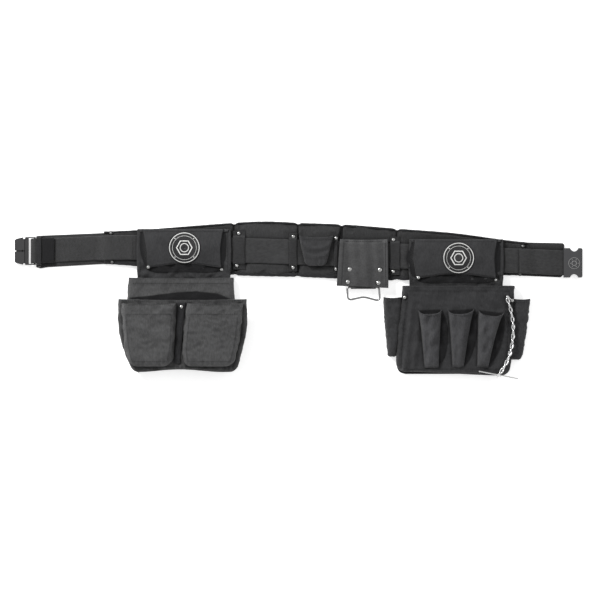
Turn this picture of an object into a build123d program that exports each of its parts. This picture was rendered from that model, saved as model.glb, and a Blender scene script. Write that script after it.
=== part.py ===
"""Carpenter's tool belt, laid out flat on its back: a padded belt with buckle, two
nail-and-tool bags that slide on the belt, a hammer holder and a small belt pocket.

Units are millimetres. X runs along the belt, Y from the bags up to the belt, Z up
from the surface the belt lies on. The origin is the middle of the plan at that surface.
"""
from build123d import *
import math
import os

os.makedirs("parts", exist_ok=True)

# ---------------------------------------------------------------- driving dimensions
WEB_WIDTH = 50.0            # 2 inch webbing
WEB_T = 2.4                 # webbing thickness
SHEET_T = 2.0               # bag sheet thickness
LEAF_T = 1.6                # tunnel leaf thickness
LINING_T = 1.2              # pad cover thickness, front and back
PAD_T = 10.0                # padded belt thickness
SEAM_HALF = 1.0             # half width of the seam between two foam inserts
FOAM_INSET = 4.0            # foam stops this far inside the pad's edge
BODY_GAP = 0.4              # half gap between the two sides of a bend in the belt

HALF_LENGTH = 568.6         # plug tip and socket mouth lie at -X and +X of this
FOLD_X = -0.4               # the belt bends here, at the seam between two pads
LEFT_TAIL_X = -390.4        # the left tail bends here
RIGHT_TAIL_X = 458.6        # the right tail bends here

WEB_Z = PAD_T + 2.4         # underside of the belt webbing
WEB_TOP = WEB_Z + WEB_T
LEAF_Z = PAD_T + 0.4        # underside of a tunnel's back leaf
FLAP_TOP = LEAF_Z + 2 * LEAF_T + 0.2

# stations of the belt's centre line and of the pad's two long edges: (x, y)
WEB_LINE = [
    (-568.4, 97.0), (-496.4, 100.3), (-381.4, 105.2), (-232.4, 103.8),
    (-16.4, 96.6), (208.6, 88.2), (575.6, 72.5),
]
PAD_TOP = [
    (-390.4, 138.0), (-246.4, 146.4), (-128.4, 155.4), (-60.4, 158.0), (-0.4, 155.4),
    (86.6, 152.2), (197.6, 143.6), (323.6, 133.4), (414.6, 120.8), (458.6, 116.2),
]
PAD_BOTTOM = [
    (-390.4, 72.6), (-316.4, 67.4), (-232.4, 59.4), (-130.4, 50.0), (-16.4, 46.8),
    (78.6, 43.2), (203.6, 39.8), (303.6, 44.0), (410.6, 49.8), (458.6, 48.6),
]
SEAMS = [-128.4, FOLD_X, 86.6, 197.6]

# tails: thin wing, webbing, buckle bar and the webbing's second layer, from the floor up
WING_T = 3.0
TAIL_WEB_Z = 3.2
BAR_Z = 6.0
TAIL_UPPER_Z = 8.8
PLUG_BAR_X = (-530.4, -526.4)
SOCKET_BAR_X = (532.0, 536.0)
BUCKLE_Y_LEFT = 98.6
BUCKLE_Y_RIGHT = 74.9

# bags
LEFT_HINGE_Y = 49.7
RIGHT_HINGE_Y = 33.7
BAG_FLOOR = 0.3             # underside of a bag's back sheet
BAG_DEPTH = 24.0            # underside of a main pocket's front sheet
FRONT_TOP = BAG_DEPTH + SHEET_T
SECOND_DEPTH = 10.0         # depth of the left bag's second pocket
SECOND_TOP = FRONT_TOP + 0.2 + SECOND_DEPTH + SHEET_T
POCKET_DEPTH = 20.0         # depth of the two outer pockets of the left bag

# chain
CHAIN_WIRE_R = 0.9
CHAIN_INNER = 13.8
CHAIN_WIDTH = 7.4
CHAIN_PITCH = 13.4
CHAIN_LINKS = 12
CHAIN_Z = FRONT_TOP + 0.5 + CHAIN_WIDTH / 2
CHAIN_ROUTE = [(417.0, 1.4), (426.6, -36.0), (428.2, -69.6), (420.2, -111.0), (398.0, -150.6)]

RIVET_HEAD_R = 3.4
RIVET_SHANK_R = 1.4


def write(piece, label):
    """Name a finished sub-part and write its file."""
    piece.part.label = label
    export_step(piece.part, f"parts/{label}.step")


def belt_y(x):
    """Height in Y of the belt's centre line at x."""
    for (x0, y0), (x1, y1) in zip(WEB_LINE, WEB_LINE[1:]):
        if x <= x1:
            return y0 + (y1 - y0) * (x - x0) / (x1 - x0)
    return WEB_LINE[-1][1]


def band(upper, lower, x0, x1, z0, z1):
    """A slab between two long curves, cut off at x0 and x1."""
    with BuildPart() as piece:
        with BuildSketch(Plane.XY.offset(z0)):
            with BuildLine():
                top = Spline(*upper)
                bottom = Spline(*lower)
                Line(top @ 0, bottom @ 0)
                Line(top @ 1, bottom @ 1)
            make_face()
            with Locations(((x0 + x1) / 2, 0)):
                Rectangle(x1 - x0, 2 * HALF_LENGTH, mode=Mode.INTERSECT)
        extrude(amount=z1 - z0)
    return piece


def pad_slab(x0, x1, inset, z0, z1):
    """A slice of the padded belt, drawn in from its long edges by inset."""
    upper = [(x, y - inset) for x, y in PAD_TOP]
    lower = [(x, y + inset) for x, y in PAD_BOTTOM]
    return band(upper, lower, x0, x1, z0, z1)


def web_slab(x0, x1, half, z0, z1):
    """A slice of the webbing, half wide to each side of the centre line."""
    upper = [(x, y + half) for x, y in WEB_LINE]
    lower = [(x, y - half) for x, y in WEB_LINE]
    return band(upper, lower, x0, x1, z0, z1)


def rivets(points, z, head_r=RIVET_HEAD_R, shank=3.0):
    """Rivets: tapered heads stand on z, shanks go down into the layers they hold."""
    with BuildPart() as piece:
        with BuildSketch(Plane.XY.offset(z)):
            with Locations(*points):
                Circle(head_r)
        extrude(amount=1.4, taper=30)
        with BuildSketch(Plane.XY.offset(z - shank)):
            with Locations(*points):
                Circle(RIVET_SHANK_R)
        extrude(amount=shank)
    return piece


# ---------------------------------------------------------------- padded belt
LEFT_PAD = (LEFT_TAIL_X + BODY_GAP, FOLD_X - BODY_GAP)
RIGHT_PAD = (FOLD_X + BODY_GAP, RIGHT_TAIL_X - BODY_GAP)

for side, (x0, x1) in {"left": LEFT_PAD, "right": RIGHT_PAD}.items():
    pad_front = pad_slab(x0, x1, 0.0, PAD_T - LINING_T, PAD_T)
    write(pad_front, f"pad_front_{side}")

    pad_back = pad_slab(x0, x1, 0.0, 0.0, LINING_T)
    write(pad_back, f"pad_back_{side}")

    edges = [x0 - SEAM_HALF] + [s for s in SEAMS if x0 < s < x1] + [x1 + SEAM_HALF]
    inserts = [
        pad_slab(start + SEAM_HALF, end - SEAM_HALF, FOAM_INSET, LINING_T, PAD_T - LINING_T).part
        for start, end in zip(edges, edges[1:])
    ]
    with BuildPart() as foam:
        add(inserts)
    write(foam, f"foam_inserts_{side}")

    webbing = web_slab(x0, x1, WEB_WIDTH / 2, WEB_Z, WEB_TOP)
    write(webbing, f"webbing_{side}")


# ---------------------------------------------------------------- keepers over the webbing
KEEPER_T = 1.4
KEEPER_FOOT = 11.0


def keeper(x0, x1):
    """A strap over the webbing, with a foot sewn to the pad on each side."""
    y = belt_y((x0 + x1) / 2)
    inner = WEB_WIDTH / 2 + 1.2
    outer = inner + KEEPER_T
    foot = outer + KEEPER_FOOT
    top = WEB_TOP + 0.4 + KEEPER_T
    with BuildPart() as piece:
        with BuildSketch(Plane.YZ.offset(x0)):
            with BuildLine():
                Polyline(
                    (y - foot, PAD_T), (y - inner, PAD_T), (y - inner, top - KEEPER_T),
                    (y + inner, top - KEEPER_T), (y + inner, PAD_T), (y + foot, PAD_T),
                    (y + foot, PAD_T + KEEPER_T), (y + outer, PAD_T + KEEPER_T), (y + outer, top),
                    (y - outer, top), (y - outer, PAD_T + KEEPER_T), (y - foot, PAD_T + KEEPER_T),
                    close=True,
                )
            make_face()
        extrude(amount=x1 - x0)
    return piece


KEEPERS = {
    "keeper_left": (-131.0, -107.0),
    "keeper_centre": (-19.0, -3.0),
    "keeper_pocket": (71.0, 78.8),
    "keeper_right": (183.8, 203.0),
}
for label, (x0, x1) in KEEPERS.items():
    write(keeper(x0, x1), label)

LEFT_BELT_RIVETS = [(-119.8, 133.8), (-123.8, 69.4), (-10.2, 127.2), (-11.0, 65.6)]
RIGHT_BELT_RIVETS = [(75.0, 124.0), (75.0, 62.6), (190.0, 121.0), (190.0, 57.4)]
LEFT_END_RIVETS = [(-375.8, 134.0), (-373.4, 76.0)]
RIGHT_END_RIVETS = [(449.6, 108.0), (443.6, 53.0)]

for label, on_keepers, on_pad in (
    ("belt_rivets_left", LEFT_BELT_RIVETS, LEFT_END_RIVETS),
    ("belt_rivets_right", RIGHT_BELT_RIVETS, RIGHT_END_RIVETS),
):
    groups = [rivets(on_keepers, PAD_T + KEEPER_T, shank=2.4).part, rivets(on_pad, PAD_T, shank=2.4).part]
    with BuildPart() as belt_rivets:
        add(groups)
    write(belt_rivets, label)


# ---------------------------------------------------------------- small pocket on the belt
POCKET_BASE_Z = WEB_TOP + 0.2
BELT_POCKET = [(1.0, 128.4), (69.0, 128.4), (54.0, 68.4), (15.0, 68.4)]

with BuildPart() as belt_pocket:
    with BuildSketch(Plane.XY.offset(POCKET_BASE_Z)):
        with BuildLine():
            Polyline(*BELT_POCKET, close=True)
        make_face()
    extrude(amount=13.0)
    fillet(belt_pocket.edges().group_by(Axis.Z)[-1].sort_by(Axis.Y)[:-1], 4.0)
    offset(amount=-LEAF_T, openings=belt_pocket.faces().sort_by(Axis.Y)[-1])
write(belt_pocket, "belt_pocket")


# ---------------------------------------------------------------- left tail with buckle plug
with BuildPart() as wing_left:
    with BuildSketch():
        with BuildLine():
            Polyline(
                (-526.4, 129.2), (LEFT_TAIL_X - BODY_GAP, 134.8), (LEFT_TAIL_X - BODY_GAP, 72.6),
                (-504.4, 66.0), (-517.4, 63.6), (-526.4, 66.0),
                close=True,
            )
        make_face()
    extrude(amount=WING_T)
    fillet(wing_left.edges().filter_by(Axis.Z).group_by(Axis.X)[0], 2.5)
write(wing_left, "wing_left")

write(rivets([(-519.9, 67.6)], WING_T, head_r=2.6, shank=2.4), "corner_rivet")


def folded_tail(bar, near, upper_end, side):
    """Webbing that runs out to a buckle bar, goes round it and comes back on top.

    side is -1 for the left end of the belt and +1 for the right end.
    """
    far = bar[0] - 4.6 if side < 0 else bar[1] + 4.2
    inner = far - side * WEB_T
    low = TAIL_WEB_Z
    high = TAIL_UPPER_Z + WEB_T
    limits = web_slab(-HALF_LENGTH, HALF_LENGTH, WEB_WIDTH / 2, 0.0, 2 * PAD_T)
    with BuildPart() as piece:
        with BuildSketch(Plane.XZ):
            with BuildLine():
                Polyline(
                    (near, low), (far, low), (far, high), (upper_end, high),
                    (upper_end, high - WEB_T), (inner, high - WEB_T),
                    (inner, low + WEB_T), (near, low + WEB_T),
                    close=True,
                )
            make_face()
        extrude(amount=2 * HALF_LENGTH, both=True)
        fillet(piece.edges().filter_by(Axis.Y).group_by(Axis.X)[0 if side < 0 else -1], 2.0)
        add(limits.part, mode=Mode.INTERSECT)
    return piece


tail_webbing_left = folded_tail(PLUG_BAR_X, LEFT_TAIL_X - BODY_GAP, -491.0, -1)
write(tail_webbing_left, "tail_webbing_left")

tail_loop_pile = web_slab(-489.4, LEFT_TAIL_X - BODY_GAP, 24.0, TAIL_WEB_Z + WEB_T, TAIL_WEB_Z + WEB_T + 0.8)
write(tail_loop_pile, "tail_loop_pile")

with BuildPart() as tail_keeper_left:
    ring_y = belt_y(-520.0)
    with BuildSketch(Plane.YZ.offset(-525.0)):
        with Locations((ring_y, (WING_T + 12.6) / 2)):
            Rectangle(WEB_WIDTH + 5.2, 12.6 - WING_T)
        with Locations((ring_y, (WING_T + 11.4) / 2)):
            Rectangle(WEB_WIDTH + 2.8, 11.4 - WING_T, mode=Mode.SUBTRACT)
    extrude(amount=10.0)
write(tail_keeper_left, "tail_keeper_left")

PLUG_T = (5.0, 9.4)         # plug's lower and upper face
PLUG_HALF = 28.0
PLUG_ROOT_X = -548.0
ARM_HALF = 24.6
ARM_SLIT = 1.0

with BuildPart() as buckle_plug:
    with BuildSketch(Plane.XY.offset(PLUG_T[0])):
        with Locations(((PLUG_ROOT_X + PLUG_BAR_X[0]) / 2, BUCKLE_Y_LEFT)):
            Rectangle(PLUG_BAR_X[0] - PLUG_ROOT_X, 2 * PLUG_HALF)
        with Locations(((-540.6 + PLUG_BAR_X[0]) / 2, BUCKLE_Y_LEFT)):
            Rectangle(PLUG_BAR_X[0] + 540.6, WEB_WIDTH + 1.2, mode=Mode.SUBTRACT)
    extrude(amount=PLUG_T[1] - PLUG_T[0])
    fillet(buckle_plug.edges().filter_by(Axis.Z).group_by(Axis.X)[0], 2.0)
    with BuildSketch(Plane.XY.offset(BAR_Z)):
        with Locations(((PLUG_BAR_X[0] + PLUG_BAR_X[1]) / 2, BUCKLE_Y_LEFT)):
            Rectangle(PLUG_BAR_X[1] - PLUG_BAR_X[0], 2 * PLUG_HALF)
    extrude(amount=2.4)
write(buckle_plug, "buckle_plug")

for label, way in (("plug_arm_upper", 1), ("plug_arm_lower", -1)):
    with BuildPart() as plug_arm:
        with BuildSketch(Plane.XY.offset(PLUG_T[0])):
            with BuildLine():
                Polyline(
                    (PLUG_ROOT_X - 1.0, BUCKLE_Y_LEFT + way * ARM_SLIT),
                    (-HALF_LENGTH, BUCKLE_Y_LEFT + way * ARM_SLIT),
                    (-HALF_LENGTH, BUCKLE_Y_LEFT + way * (ARM_HALF - 2.6)),
                    (-564.6, BUCKLE_Y_LEFT + way * ARM_HALF),
                    (-552.4, BUCKLE_Y_LEFT + way * (ARM_HALF + 2.8)),
                    (-551.4, BUCKLE_Y_LEFT + way * (ARM_HALF - 0.6)),
                    (PLUG_ROOT_X - 1.0, BUCKLE_Y_LEFT + way * (ARM_HALF - 1.4)),
                    close=True,
                )
            make_face()
            with Locations((-553.0, BUCKLE_Y_LEFT)):
                Circle(2.2, mode=Mode.SUBTRACT)
        extrude(amount=PLUG_T[1] - PLUG_T[0])
    write(plug_arm, label)


# ---------------------------------------------------------------- right tail with buckle socket
with BuildPart() as wing_right:
    with BuildSketch():
        with BuildLine():
            Polyline(
                (RIGHT_TAIL_X + BODY_GAP, 115.8), (534.6, 114.4), (529.6, 45.6),
                (RIGHT_TAIL_X + BODY_GAP, 48.6),
                close=True,
            )
        make_face()
    extrude(amount=WING_T)
    fillet(wing_right.edges().filter_by(Axis.Z).sort_by(Axis.X)[-2:], 6.0)
write(wing_right, "wing_right")

tail_webbing_right = folded_tail(SOCKET_BAR_X, RIGHT_TAIL_X + BODY_GAP, RIGHT_TAIL_X + 2.0, 1)
write(tail_webbing_right, "tail_webbing_right")

SOCKET_HALF = 29.5
SOCKET_Z = (1.0, 13.4)
SHELL_X = 540.6
SHELL_WALL = 1.8

with BuildPart() as buckle_socket:
    with BuildSketch(Plane.XY.offset(SOCKET_Z[0])):
        with Locations(((SHELL_X + HALF_LENGTH) / 2, BUCKLE_Y_RIGHT)):
            RectangleRounded(HALF_LENGTH - SHELL_X, 2 * SOCKET_HALF, 3.0)
    extrude(amount=SOCKET_Z[1] - SOCKET_Z[0])
    with BuildSketch(Plane.XY.offset(WING_T + 0.4)):
        with Locations(((531.0 + SHELL_X + 4) / 2, BUCKLE_Y_RIGHT)):
            Rectangle(SHELL_X + 4 - 531.0, 2 * SOCKET_HALF)
    extrude(amount=SOCKET_Z[1] - WING_T - 0.4)
    # space for the webbing behind the shell, and the bar it goes round
    with BuildSketch(Plane.XY.offset(WING_T)):
        with Locations(((523.6 + SHELL_X) / 2, BUCKLE_Y_RIGHT - 0.4)):
            Rectangle(SHELL_X - 523.6, WEB_WIDTH + 2.6)
    extrude(amount=TAIL_UPPER_Z + WEB_T + 0.2 - WING_T, mode=Mode.SUBTRACT)
    with BuildSketch(Plane.XY.offset(BAR_Z)):
        with Locations(((SOCKET_BAR_X[0] + SOCKET_BAR_X[1]) / 2, BUCKLE_Y_RIGHT)):
            Rectangle(SOCKET_BAR_X[1] - SOCKET_BAR_X[0], 2 * SOCKET_HALF)
    extrude(amount=2.4)
    # mouth that takes the plug's arms
    with BuildSketch(Plane.YZ.offset(HALF_LENGTH)):
        with Locations((BUCKLE_Y_RIGHT, (SOCKET_Z[0] + SOCKET_Z[1]) / 2)):
            Rectangle(52.4, SOCKET_Z[1] - SOCKET_Z[0] - 2 * SHELL_WALL)
    extrude(amount=-(HALF_LENGTH - SHELL_X - 2.0), mode=Mode.SUBTRACT)
    # thumb notches at both sides
    with BuildSketch(Plane.XY):
        with Locations((552.4, BUCKLE_Y_RIGHT + 31.4), (552.4, BUCKLE_Y_RIGHT - 31.4)):
            Circle(8.6)
    extrude(amount=20.0, mode=Mode.SUBTRACT)
write(buckle_socket, "buckle_socket")


# ---------------------------------------------------------------- tunnels that ride on the webbing
def tunnel(x0, x1, bottom, flap, top, rise):
    """A fabric loop round the webbing: flat back leaf, bulging front leaf, sewn flap below."""
    crown = FLAP_TOP + rise
    middle = (flap + top) / 2
    with BuildPart() as piece:
        with BuildSketch(Plane.YZ.offset(x0)):
            with BuildLine():
                Line((flap, LEAF_Z), (top - 3.0, LEAF_Z))
                ThreePointArc((top - 3.0, LEAF_Z), (top, LEAF_Z + 4.4), (top - 3.6, LEAF_Z + 9.0))
                ThreePointArc((top - 3.6, LEAF_Z + 9.0), (middle, crown), (flap, FLAP_TOP))
                Line((flap, FLAP_TOP), (flap, LEAF_Z))
            make_face()
            offset(amount=-LEAF_T, mode=Mode.SUBTRACT)
            with Locations(((bottom + flap + 1.0) / 2, (LEAF_Z + FLAP_TOP) / 2)):
                Rectangle(flap + 1.0 - bottom, FLAP_TOP - LEAF_Z)
        extrude(amount=x1 - x0)
    return piece


def badge(x, y, z):
    """A round badge with a raised rim."""
    with BuildPart() as piece:
        with BuildSketch(Plane.XY.offset(z)):
            with Locations((x, y)):
                Circle(32.0)
        extrude(amount=1.2)
        with BuildSketch(Plane.XY.offset(z + 1.2)):
            with Locations((x, y)):
                Circle(31.0)
                Circle(27.5, mode=Mode.SUBTRACT)
        extrude(amount=0.8)
    return piece


TUNNEL_RISE = 12.0
BADGE_Z = FLAP_TOP + TUNNEL_RISE + 1.0

left_tunnel = tunnel(-325.0, -133.6, LEFT_HINGE_Y + 0.5, 71.0, 143.0, TUNNEL_RISE)
write(left_tunnel, "left_tunnel")
write(badge(-228.0, 104.8, BADGE_Z), "left_badge")
write(rivets([(-300.6, 66.0), (-154.0, 61.4)], FLAP_TOP), "left_tunnel_rivets")

right_tunnel = tunnel(219.6, 411.6, RIGHT_HINGE_Y + 0.5, 50.0, 122.4, TUNNEL_RISE)
write(right_tunnel, "right_tunnel")
write(badge(320.0, 84.4, BADGE_Z), "right_badge")
write(rivets([(239.8, 45.0), (395.0, 40.6)], FLAP_TOP), "right_tunnel_rivets")


# ---------------------------------------------------------------- main pocket of a bag
def outline(points, radius, corners):
    """A flat polygon with the named corners rounded."""
    places = [points[i] for i in corners]
    with BuildSketch() as shape:
        with BuildLine():
            Polyline(*points, close=True)
        make_face()
        rounded = [v for v in shape.vertices() if (round(v.X, 3), round(v.Y, 3)) in places]
        fillet(rounded, radius)
    return shape.sketch


def bag_back(points, radius, corners, hinge_y):
    """Back sheet on the floor, with the throat that climbs to the hinge line."""
    drop = hinge_y - 12.0
    plan = outline(points, radius, corners)
    left = points[0][0]
    right = points[1][0]
    with BuildPart() as piece:
        with BuildSketch(Plane.YZ):
            with BuildLine():
                Polyline(
                    (-200.0, BAG_FLOOR), (drop, BAG_FLOOR), (hinge_y - 1.8, LEAF_Z),
                    (hinge_y - 0.5, LEAF_Z), (hinge_y - 0.5, LEAF_Z + LEAF_T),
                    (hinge_y - 3.6, LEAF_Z + LEAF_T), (drop - 1.8, BAG_FLOOR + SHEET_T),
                    (-200.0, BAG_FLOOR + SHEET_T),
                    close=True,
                )
            make_face()
        extrude(amount=2 * HALF_LENGTH, both=True)
        with BuildSketch():
            add(plan)
            with Locations(((left + right) / 2, drop - 1.8 + 20.0)):
                Rectangle(2 * (right - left), 40.0, mode=Mode.SUBTRACT)
            with Locations(((left + right) / 2, drop - 1.9 + 20.0)):
                Rectangle(right - left - 2 * SHEET_T - 1.0, 40.0)
        extrude(amount=2 * PAD_T, mode=Mode.INTERSECT)
    return piece


def bag_gusset(points, radius, corners):
    """Side and bottom wall of a main pocket, open at the top edge."""
    plan = outline(points, radius, corners)
    with BuildPart() as piece:
        with BuildSketch(Plane.XY.offset(BAG_FLOOR + SHEET_T)):
            add(plan)
        extrude(amount=BAG_DEPTH - BAG_FLOOR - SHEET_T)
        open_sides = piece.faces().sort_by(Axis.Y)[-1:] + piece.faces().filter_by(Axis.Z)
        offset(amount=-SHEET_T, openings=open_sides)
    return piece


def bag_front(points, radius, corners):
    """Front sheet of a main pocket, with a hem along its mouth."""
    plan = outline(points, radius, corners)
    with BuildPart() as piece:
        with BuildSketch(Plane.XY.offset(BAG_DEPTH)):
            add(plan)
        extrude(amount=SHEET_T)
    return piece


# corners run top left, top right, bottom right, bottom left
LEFT_MAIN = [(-340.0, 45.4), (-130.0, 45.4), (-132.4, -134.0), (-336.4, -134.0)]
RIGHT_MAIN = [(207.1, 29.0), (432.1, 29.0), (423.1, -148.5), (194.1, -141.0)]

for side, points, hinge_y in (("left", LEFT_MAIN, LEFT_HINGE_Y), ("right", RIGHT_MAIN, RIGHT_HINGE_Y)):
    write(bag_back(points, 16.0, (2, 3), hinge_y), f"{side}_bag_back")
    write(bag_gusset(points, 16.0, (2, 3)), f"{side}_main_gusset")
    write(bag_front(points, 16.0, (2, 3)), f"{side}_main_front")


# ---------------------------------------------------------------- left bag: second pocket and front pair
def tray(points, radius, corners, z0, z1, wall):
    """A flat pocket: sheet on top, walls below it on three sides, open along the first edge."""
    plan = outline(points, radius, corners)
    with BuildPart() as piece:
        with BuildSketch(Plane.XY.offset(z0)):
            add(plan)
        extrude(amount=z1 - z0)
        mouth = piece.faces().sort_by(Axis.Y)[-1]
        base = piece.faces().filter_by(Axis.Z).sort_by(Axis.Z)[0]
        offset(amount=-wall, openings=[mouth, base])
    return piece


SECOND_POCKET = [
    (-359.4, 2.4), (-104.4, 2.4), (-101.8, -50.0), (-115.4, -112.0), (-124.4, -141.0),
    (-328.4, -141.0), (-344.4, -112.0), (-360.8, -42.0),
]
left_second_pocket = tray(SECOND_POCKET, 7.0, (4, 5), FRONT_TOP + 0.2, SECOND_TOP, SHEET_T)
write(left_second_pocket, "left_second_pocket")


def outer_pocket(points, radius, corners, z0, depth, wall):
    """A boxed pocket with a rounded face, open at its top edge."""
    plan = outline(points, radius, corners)
    with BuildPart() as piece:
        with BuildSketch(Plane.XY.offset(z0)):
            add(plan)
        extrude(amount=depth)
        mouth_edges = piece.faces().sort_by(Axis.Y)[-1].edges()
        rims = [e for e in piece.edges().group_by(Axis.Z)[-1] if e not in mouth_edges]
        fillet(rims, 6.0)
        offset(amount=-wall, openings=piece.faces().sort_by(Axis.Y)[-1])
    return piece


FRONT_POCKETS = {
    "left_front_pocket_a": [(-351.0, -6.0), (-243.0, -6.0), (-250.4, -124.0), (-336.4, -124.0)],
    "left_front_pocket_b": [(-222.4, -6.0), (-111.0, -6.0), (-127.4, -124.0), (-234.4, -124.0)],
}
for label, points in FRONT_POCKETS.items():
    pocket = outer_pocket(points, 14.0, (2, 3), SECOND_TOP, POCKET_DEPTH, LEAF_T)
    write(pocket, label)

with BuildPart() as left_divider_strap:
    with BuildSketch(Plane.XY.offset(SECOND_TOP)):
        with BuildLine():
            Polyline((-241.0, -4.0), (-225.0, -4.0), (-236.0, -126.0), (-248.4, -126.0), close=True)
        make_face()
    extrude(amount=1.6)
write(left_divider_strap, "left_divider_strap")
write(rivets([(-233.2, -13.2)], SECOND_TOP + 1.6), "left_divider_rivet")


# ---------------------------------------------------------------- right bag: sleeves and side pockets
SLEEVE_TOP_Y = -22.0
SLEEVE_END_Y = -135.0
SLEEVE_HEIGHT = (17.0, 9.0)     # at the mouth and at the closed end


def arch(x, width, height):
    """An arched profile that stands on the bag's front."""
    with BuildSketch() as shape:
        with BuildLine():
            ThreePointArc(
                (x - width / 2, FRONT_TOP), (x, FRONT_TOP + height), (x + width / 2, FRONT_TOP),
            )
            Line((x - width / 2, FRONT_TOP), (x + width / 2, FRONT_TOP))
        make_face()
    return shape.sketch


def tapered_arch(mouth_x, mouth_width, end_x, end_width, thinner, end_y):
    """A solid arch that tapers from the sleeve's mouth to its lower end."""
    mouth = arch(mouth_x, mouth_width - 2 * thinner, SLEEVE_HEIGHT[0] - thinner)
    end = arch(end_x, end_width - 2 * thinner, SLEEVE_HEIGHT[1] - thinner)
    with BuildPart() as piece:
        with BuildSketch(Plane.XZ.offset(-SLEEVE_TOP_Y)):
            add(mouth)
        with BuildSketch(Plane.XZ.offset(-end_y)):
            add(end)
        loft()
    return piece.part


def sleeve(mouth_x, mouth_width, end_x, end_width):
    """A tapered screwdriver sleeve with a wide mouth and a closed lower end."""
    outside = tapered_arch(mouth_x, mouth_width, end_x, end_width, 0.0, SLEEVE_END_Y)
    inside = tapered_arch(mouth_x, mouth_width, end_x, end_width, LEAF_T, SLEEVE_END_Y + 3.0)
    with BuildPart() as piece:
        add(outside)
        add(inside, mode=Mode.SUBTRACT)
    return piece


SLEEVES = {
    "sleeve_left": (263.3, 43.0, 266.0, 28.0),
    "sleeve_middle": (322.5, 46.0, 319.0, 25.0),
    "sleeve_right": (385.0, 46.0, 370.0, 24.0),
}
for label, sizes in SLEEVES.items():
    write(sleeve(*sizes), label)

SIDE_POCKETS = {
    "side_pocket_left": [(169.6, 3.0), (204.4, 3.0), (195.2, -113.0), (180.6, -113.0)],
    "side_pocket_right": [(432.8, 3.0), (464.2, 3.0), (446.6, -119.0), (427.0, -119.0)],
}
for label, points in SIDE_POCKETS.items():
    pocket = outer_pocket(points, 5.0, (2, 3), 2.4, 21.0, LEAF_T)
    write(pocket, label)

write(rivets([(212.2, 5.6), (427.2, -0.6)], FRONT_TOP, shank=2.0), "right_bag_rivets")


# ---------------------------------------------------------------- tape chain
with BuildLine():
    chain_path = Spline(*CHAIN_ROUTE)


def chain_place(s):
    """Point on the chain's route s mm from its upper end, and the direction there."""
    t = s / chain_path.length
    if t < 0:
        return chain_path @ 0 + (chain_path % 0) * s, chain_path % 0
    return chain_path @ t, chain_path % t


def chain_link(s, upright):
    """One oval wire link, lying flat or standing on edge."""
    point, along = chain_place(s)
    across = Vector(-along.Y, along.X, 0)
    face_normal = across if upright else Vector(0, 0, 1)
    link_plane = Plane(origin=(point.X, point.Y, CHAIN_Z), x_dir=along, z_dir=face_normal)
    straight = (CHAIN_INNER + 2 * CHAIN_WIRE_R - (CHAIN_WIDTH - 2 * CHAIN_WIRE_R)) / 2
    bend = CHAIN_WIDTH / 2 - CHAIN_WIRE_R
    with BuildPart() as piece:
        with BuildLine(link_plane):
            upper = Line((-straight, bend), (straight, bend))
            ThreePointArc((straight, bend), (straight + bend, 0), (straight, -bend))
            Line((straight, -bend), (-straight, -bend))
            ThreePointArc((-straight, -bend), (-straight - bend, 0), (-straight, bend))
        with BuildSketch(Plane(origin=upper @ 0.5, z_dir=upper % 0.5)):
            Circle(CHAIN_WIRE_R)
        sweep()
    return piece


GROUP = CHAIN_LINKS // 3
for number, label in enumerate(("chain_upper", "chain_middle", "chain_lower")):
    links = [
        chain_link((index + 0.5) * CHAIN_PITCH, upright=index % 2 == 1).part
        for index in range(number * GROUP, (number + 1) * GROUP)
    ]
    with BuildPart() as chain_group:
        add(links)
    write(chain_group, label)

ring_point = chain_place(-0.5 * CHAIN_PITCH)[0]
tab_ring = chain_link(-0.5 * CHAIN_PITCH, upright=True).part
with BuildPart() as chain_tab:
    add(tab_ring)
    with BuildSketch(Plane.XY.offset(FRONT_TOP)):
        with BuildLine():
            Line((427.2, -0.6), (ring_point.X, ring_point.Y))
        trace(line_width=7.0)
    extrude(amount=1.4)
write(chain_tab, "chain_tab")

# T-bar through the last link
BAR_R = 1.25
BAR_LENGTH = 79.6
BAR_TURN = -11.1
last_point, last_along = chain_place((CHAIN_LINKS - 0.5) * CHAIN_PITCH)
bar_centre = last_point + last_along * (CHAIN_INNER / 2 - 2.6)
with BuildPart() as tape_bar:
    bar_dir = Vector(math.cos(math.radians(BAR_TURN)), math.sin(math.radians(BAR_TURN)), 0)
    start = Vector(bar_centre.X, bar_centre.Y, CHAIN_Z) - bar_dir * (BAR_LENGTH / 2)
    with BuildSketch(Plane(origin=start, z_dir=bar_dir)):
        Circle(BAR_R)
    extrude(amount=BAR_LENGTH)
write(tape_bar, "tape_bar")


# ---------------------------------------------------------------- hammer holder
PLATE = (81.2, 181.2)
PLATE_Y = (25.4, 100.4)
HOLDER_TOP = 121.0
LOOP_R = 2.0
LOOP_Y = 26.0
LOOP_Z = 13.2
BRACKET_X = (104.6, 154.6)
SLEEVE_FRONT_Z = WEB_TOP + 0.4
PLATE_Z = SLEEVE_FRONT_Z + LEAF_T + 0.1

with BuildPart() as hammer_sleeve:
    with BuildSketch(Plane.YZ.offset(PLATE[0] + 1.5)):
        with Locations(((HOLDER_TOP + 46.0) / 2, (LEAF_Z + PLATE_Z - 0.1) / 2)):
            Rectangle(HOLDER_TOP - 46.0, PLATE_Z - 0.1 - LEAF_Z)
        with Locations(((HOLDER_TOP - LEAF_T + 62.6) / 2, (LEAF_Z + LEAF_T + SLEEVE_FRONT_Z) / 2)):
            Rectangle(HOLDER_TOP - LEAF_T - 62.6, SLEEVE_FRONT_Z - LEAF_Z - LEAF_T, mode=Mode.SUBTRACT)
    extrude(amount=PLATE[1] - PLATE[0] - 3.0)
write(hammer_sleeve, "hammer_sleeve")

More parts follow.
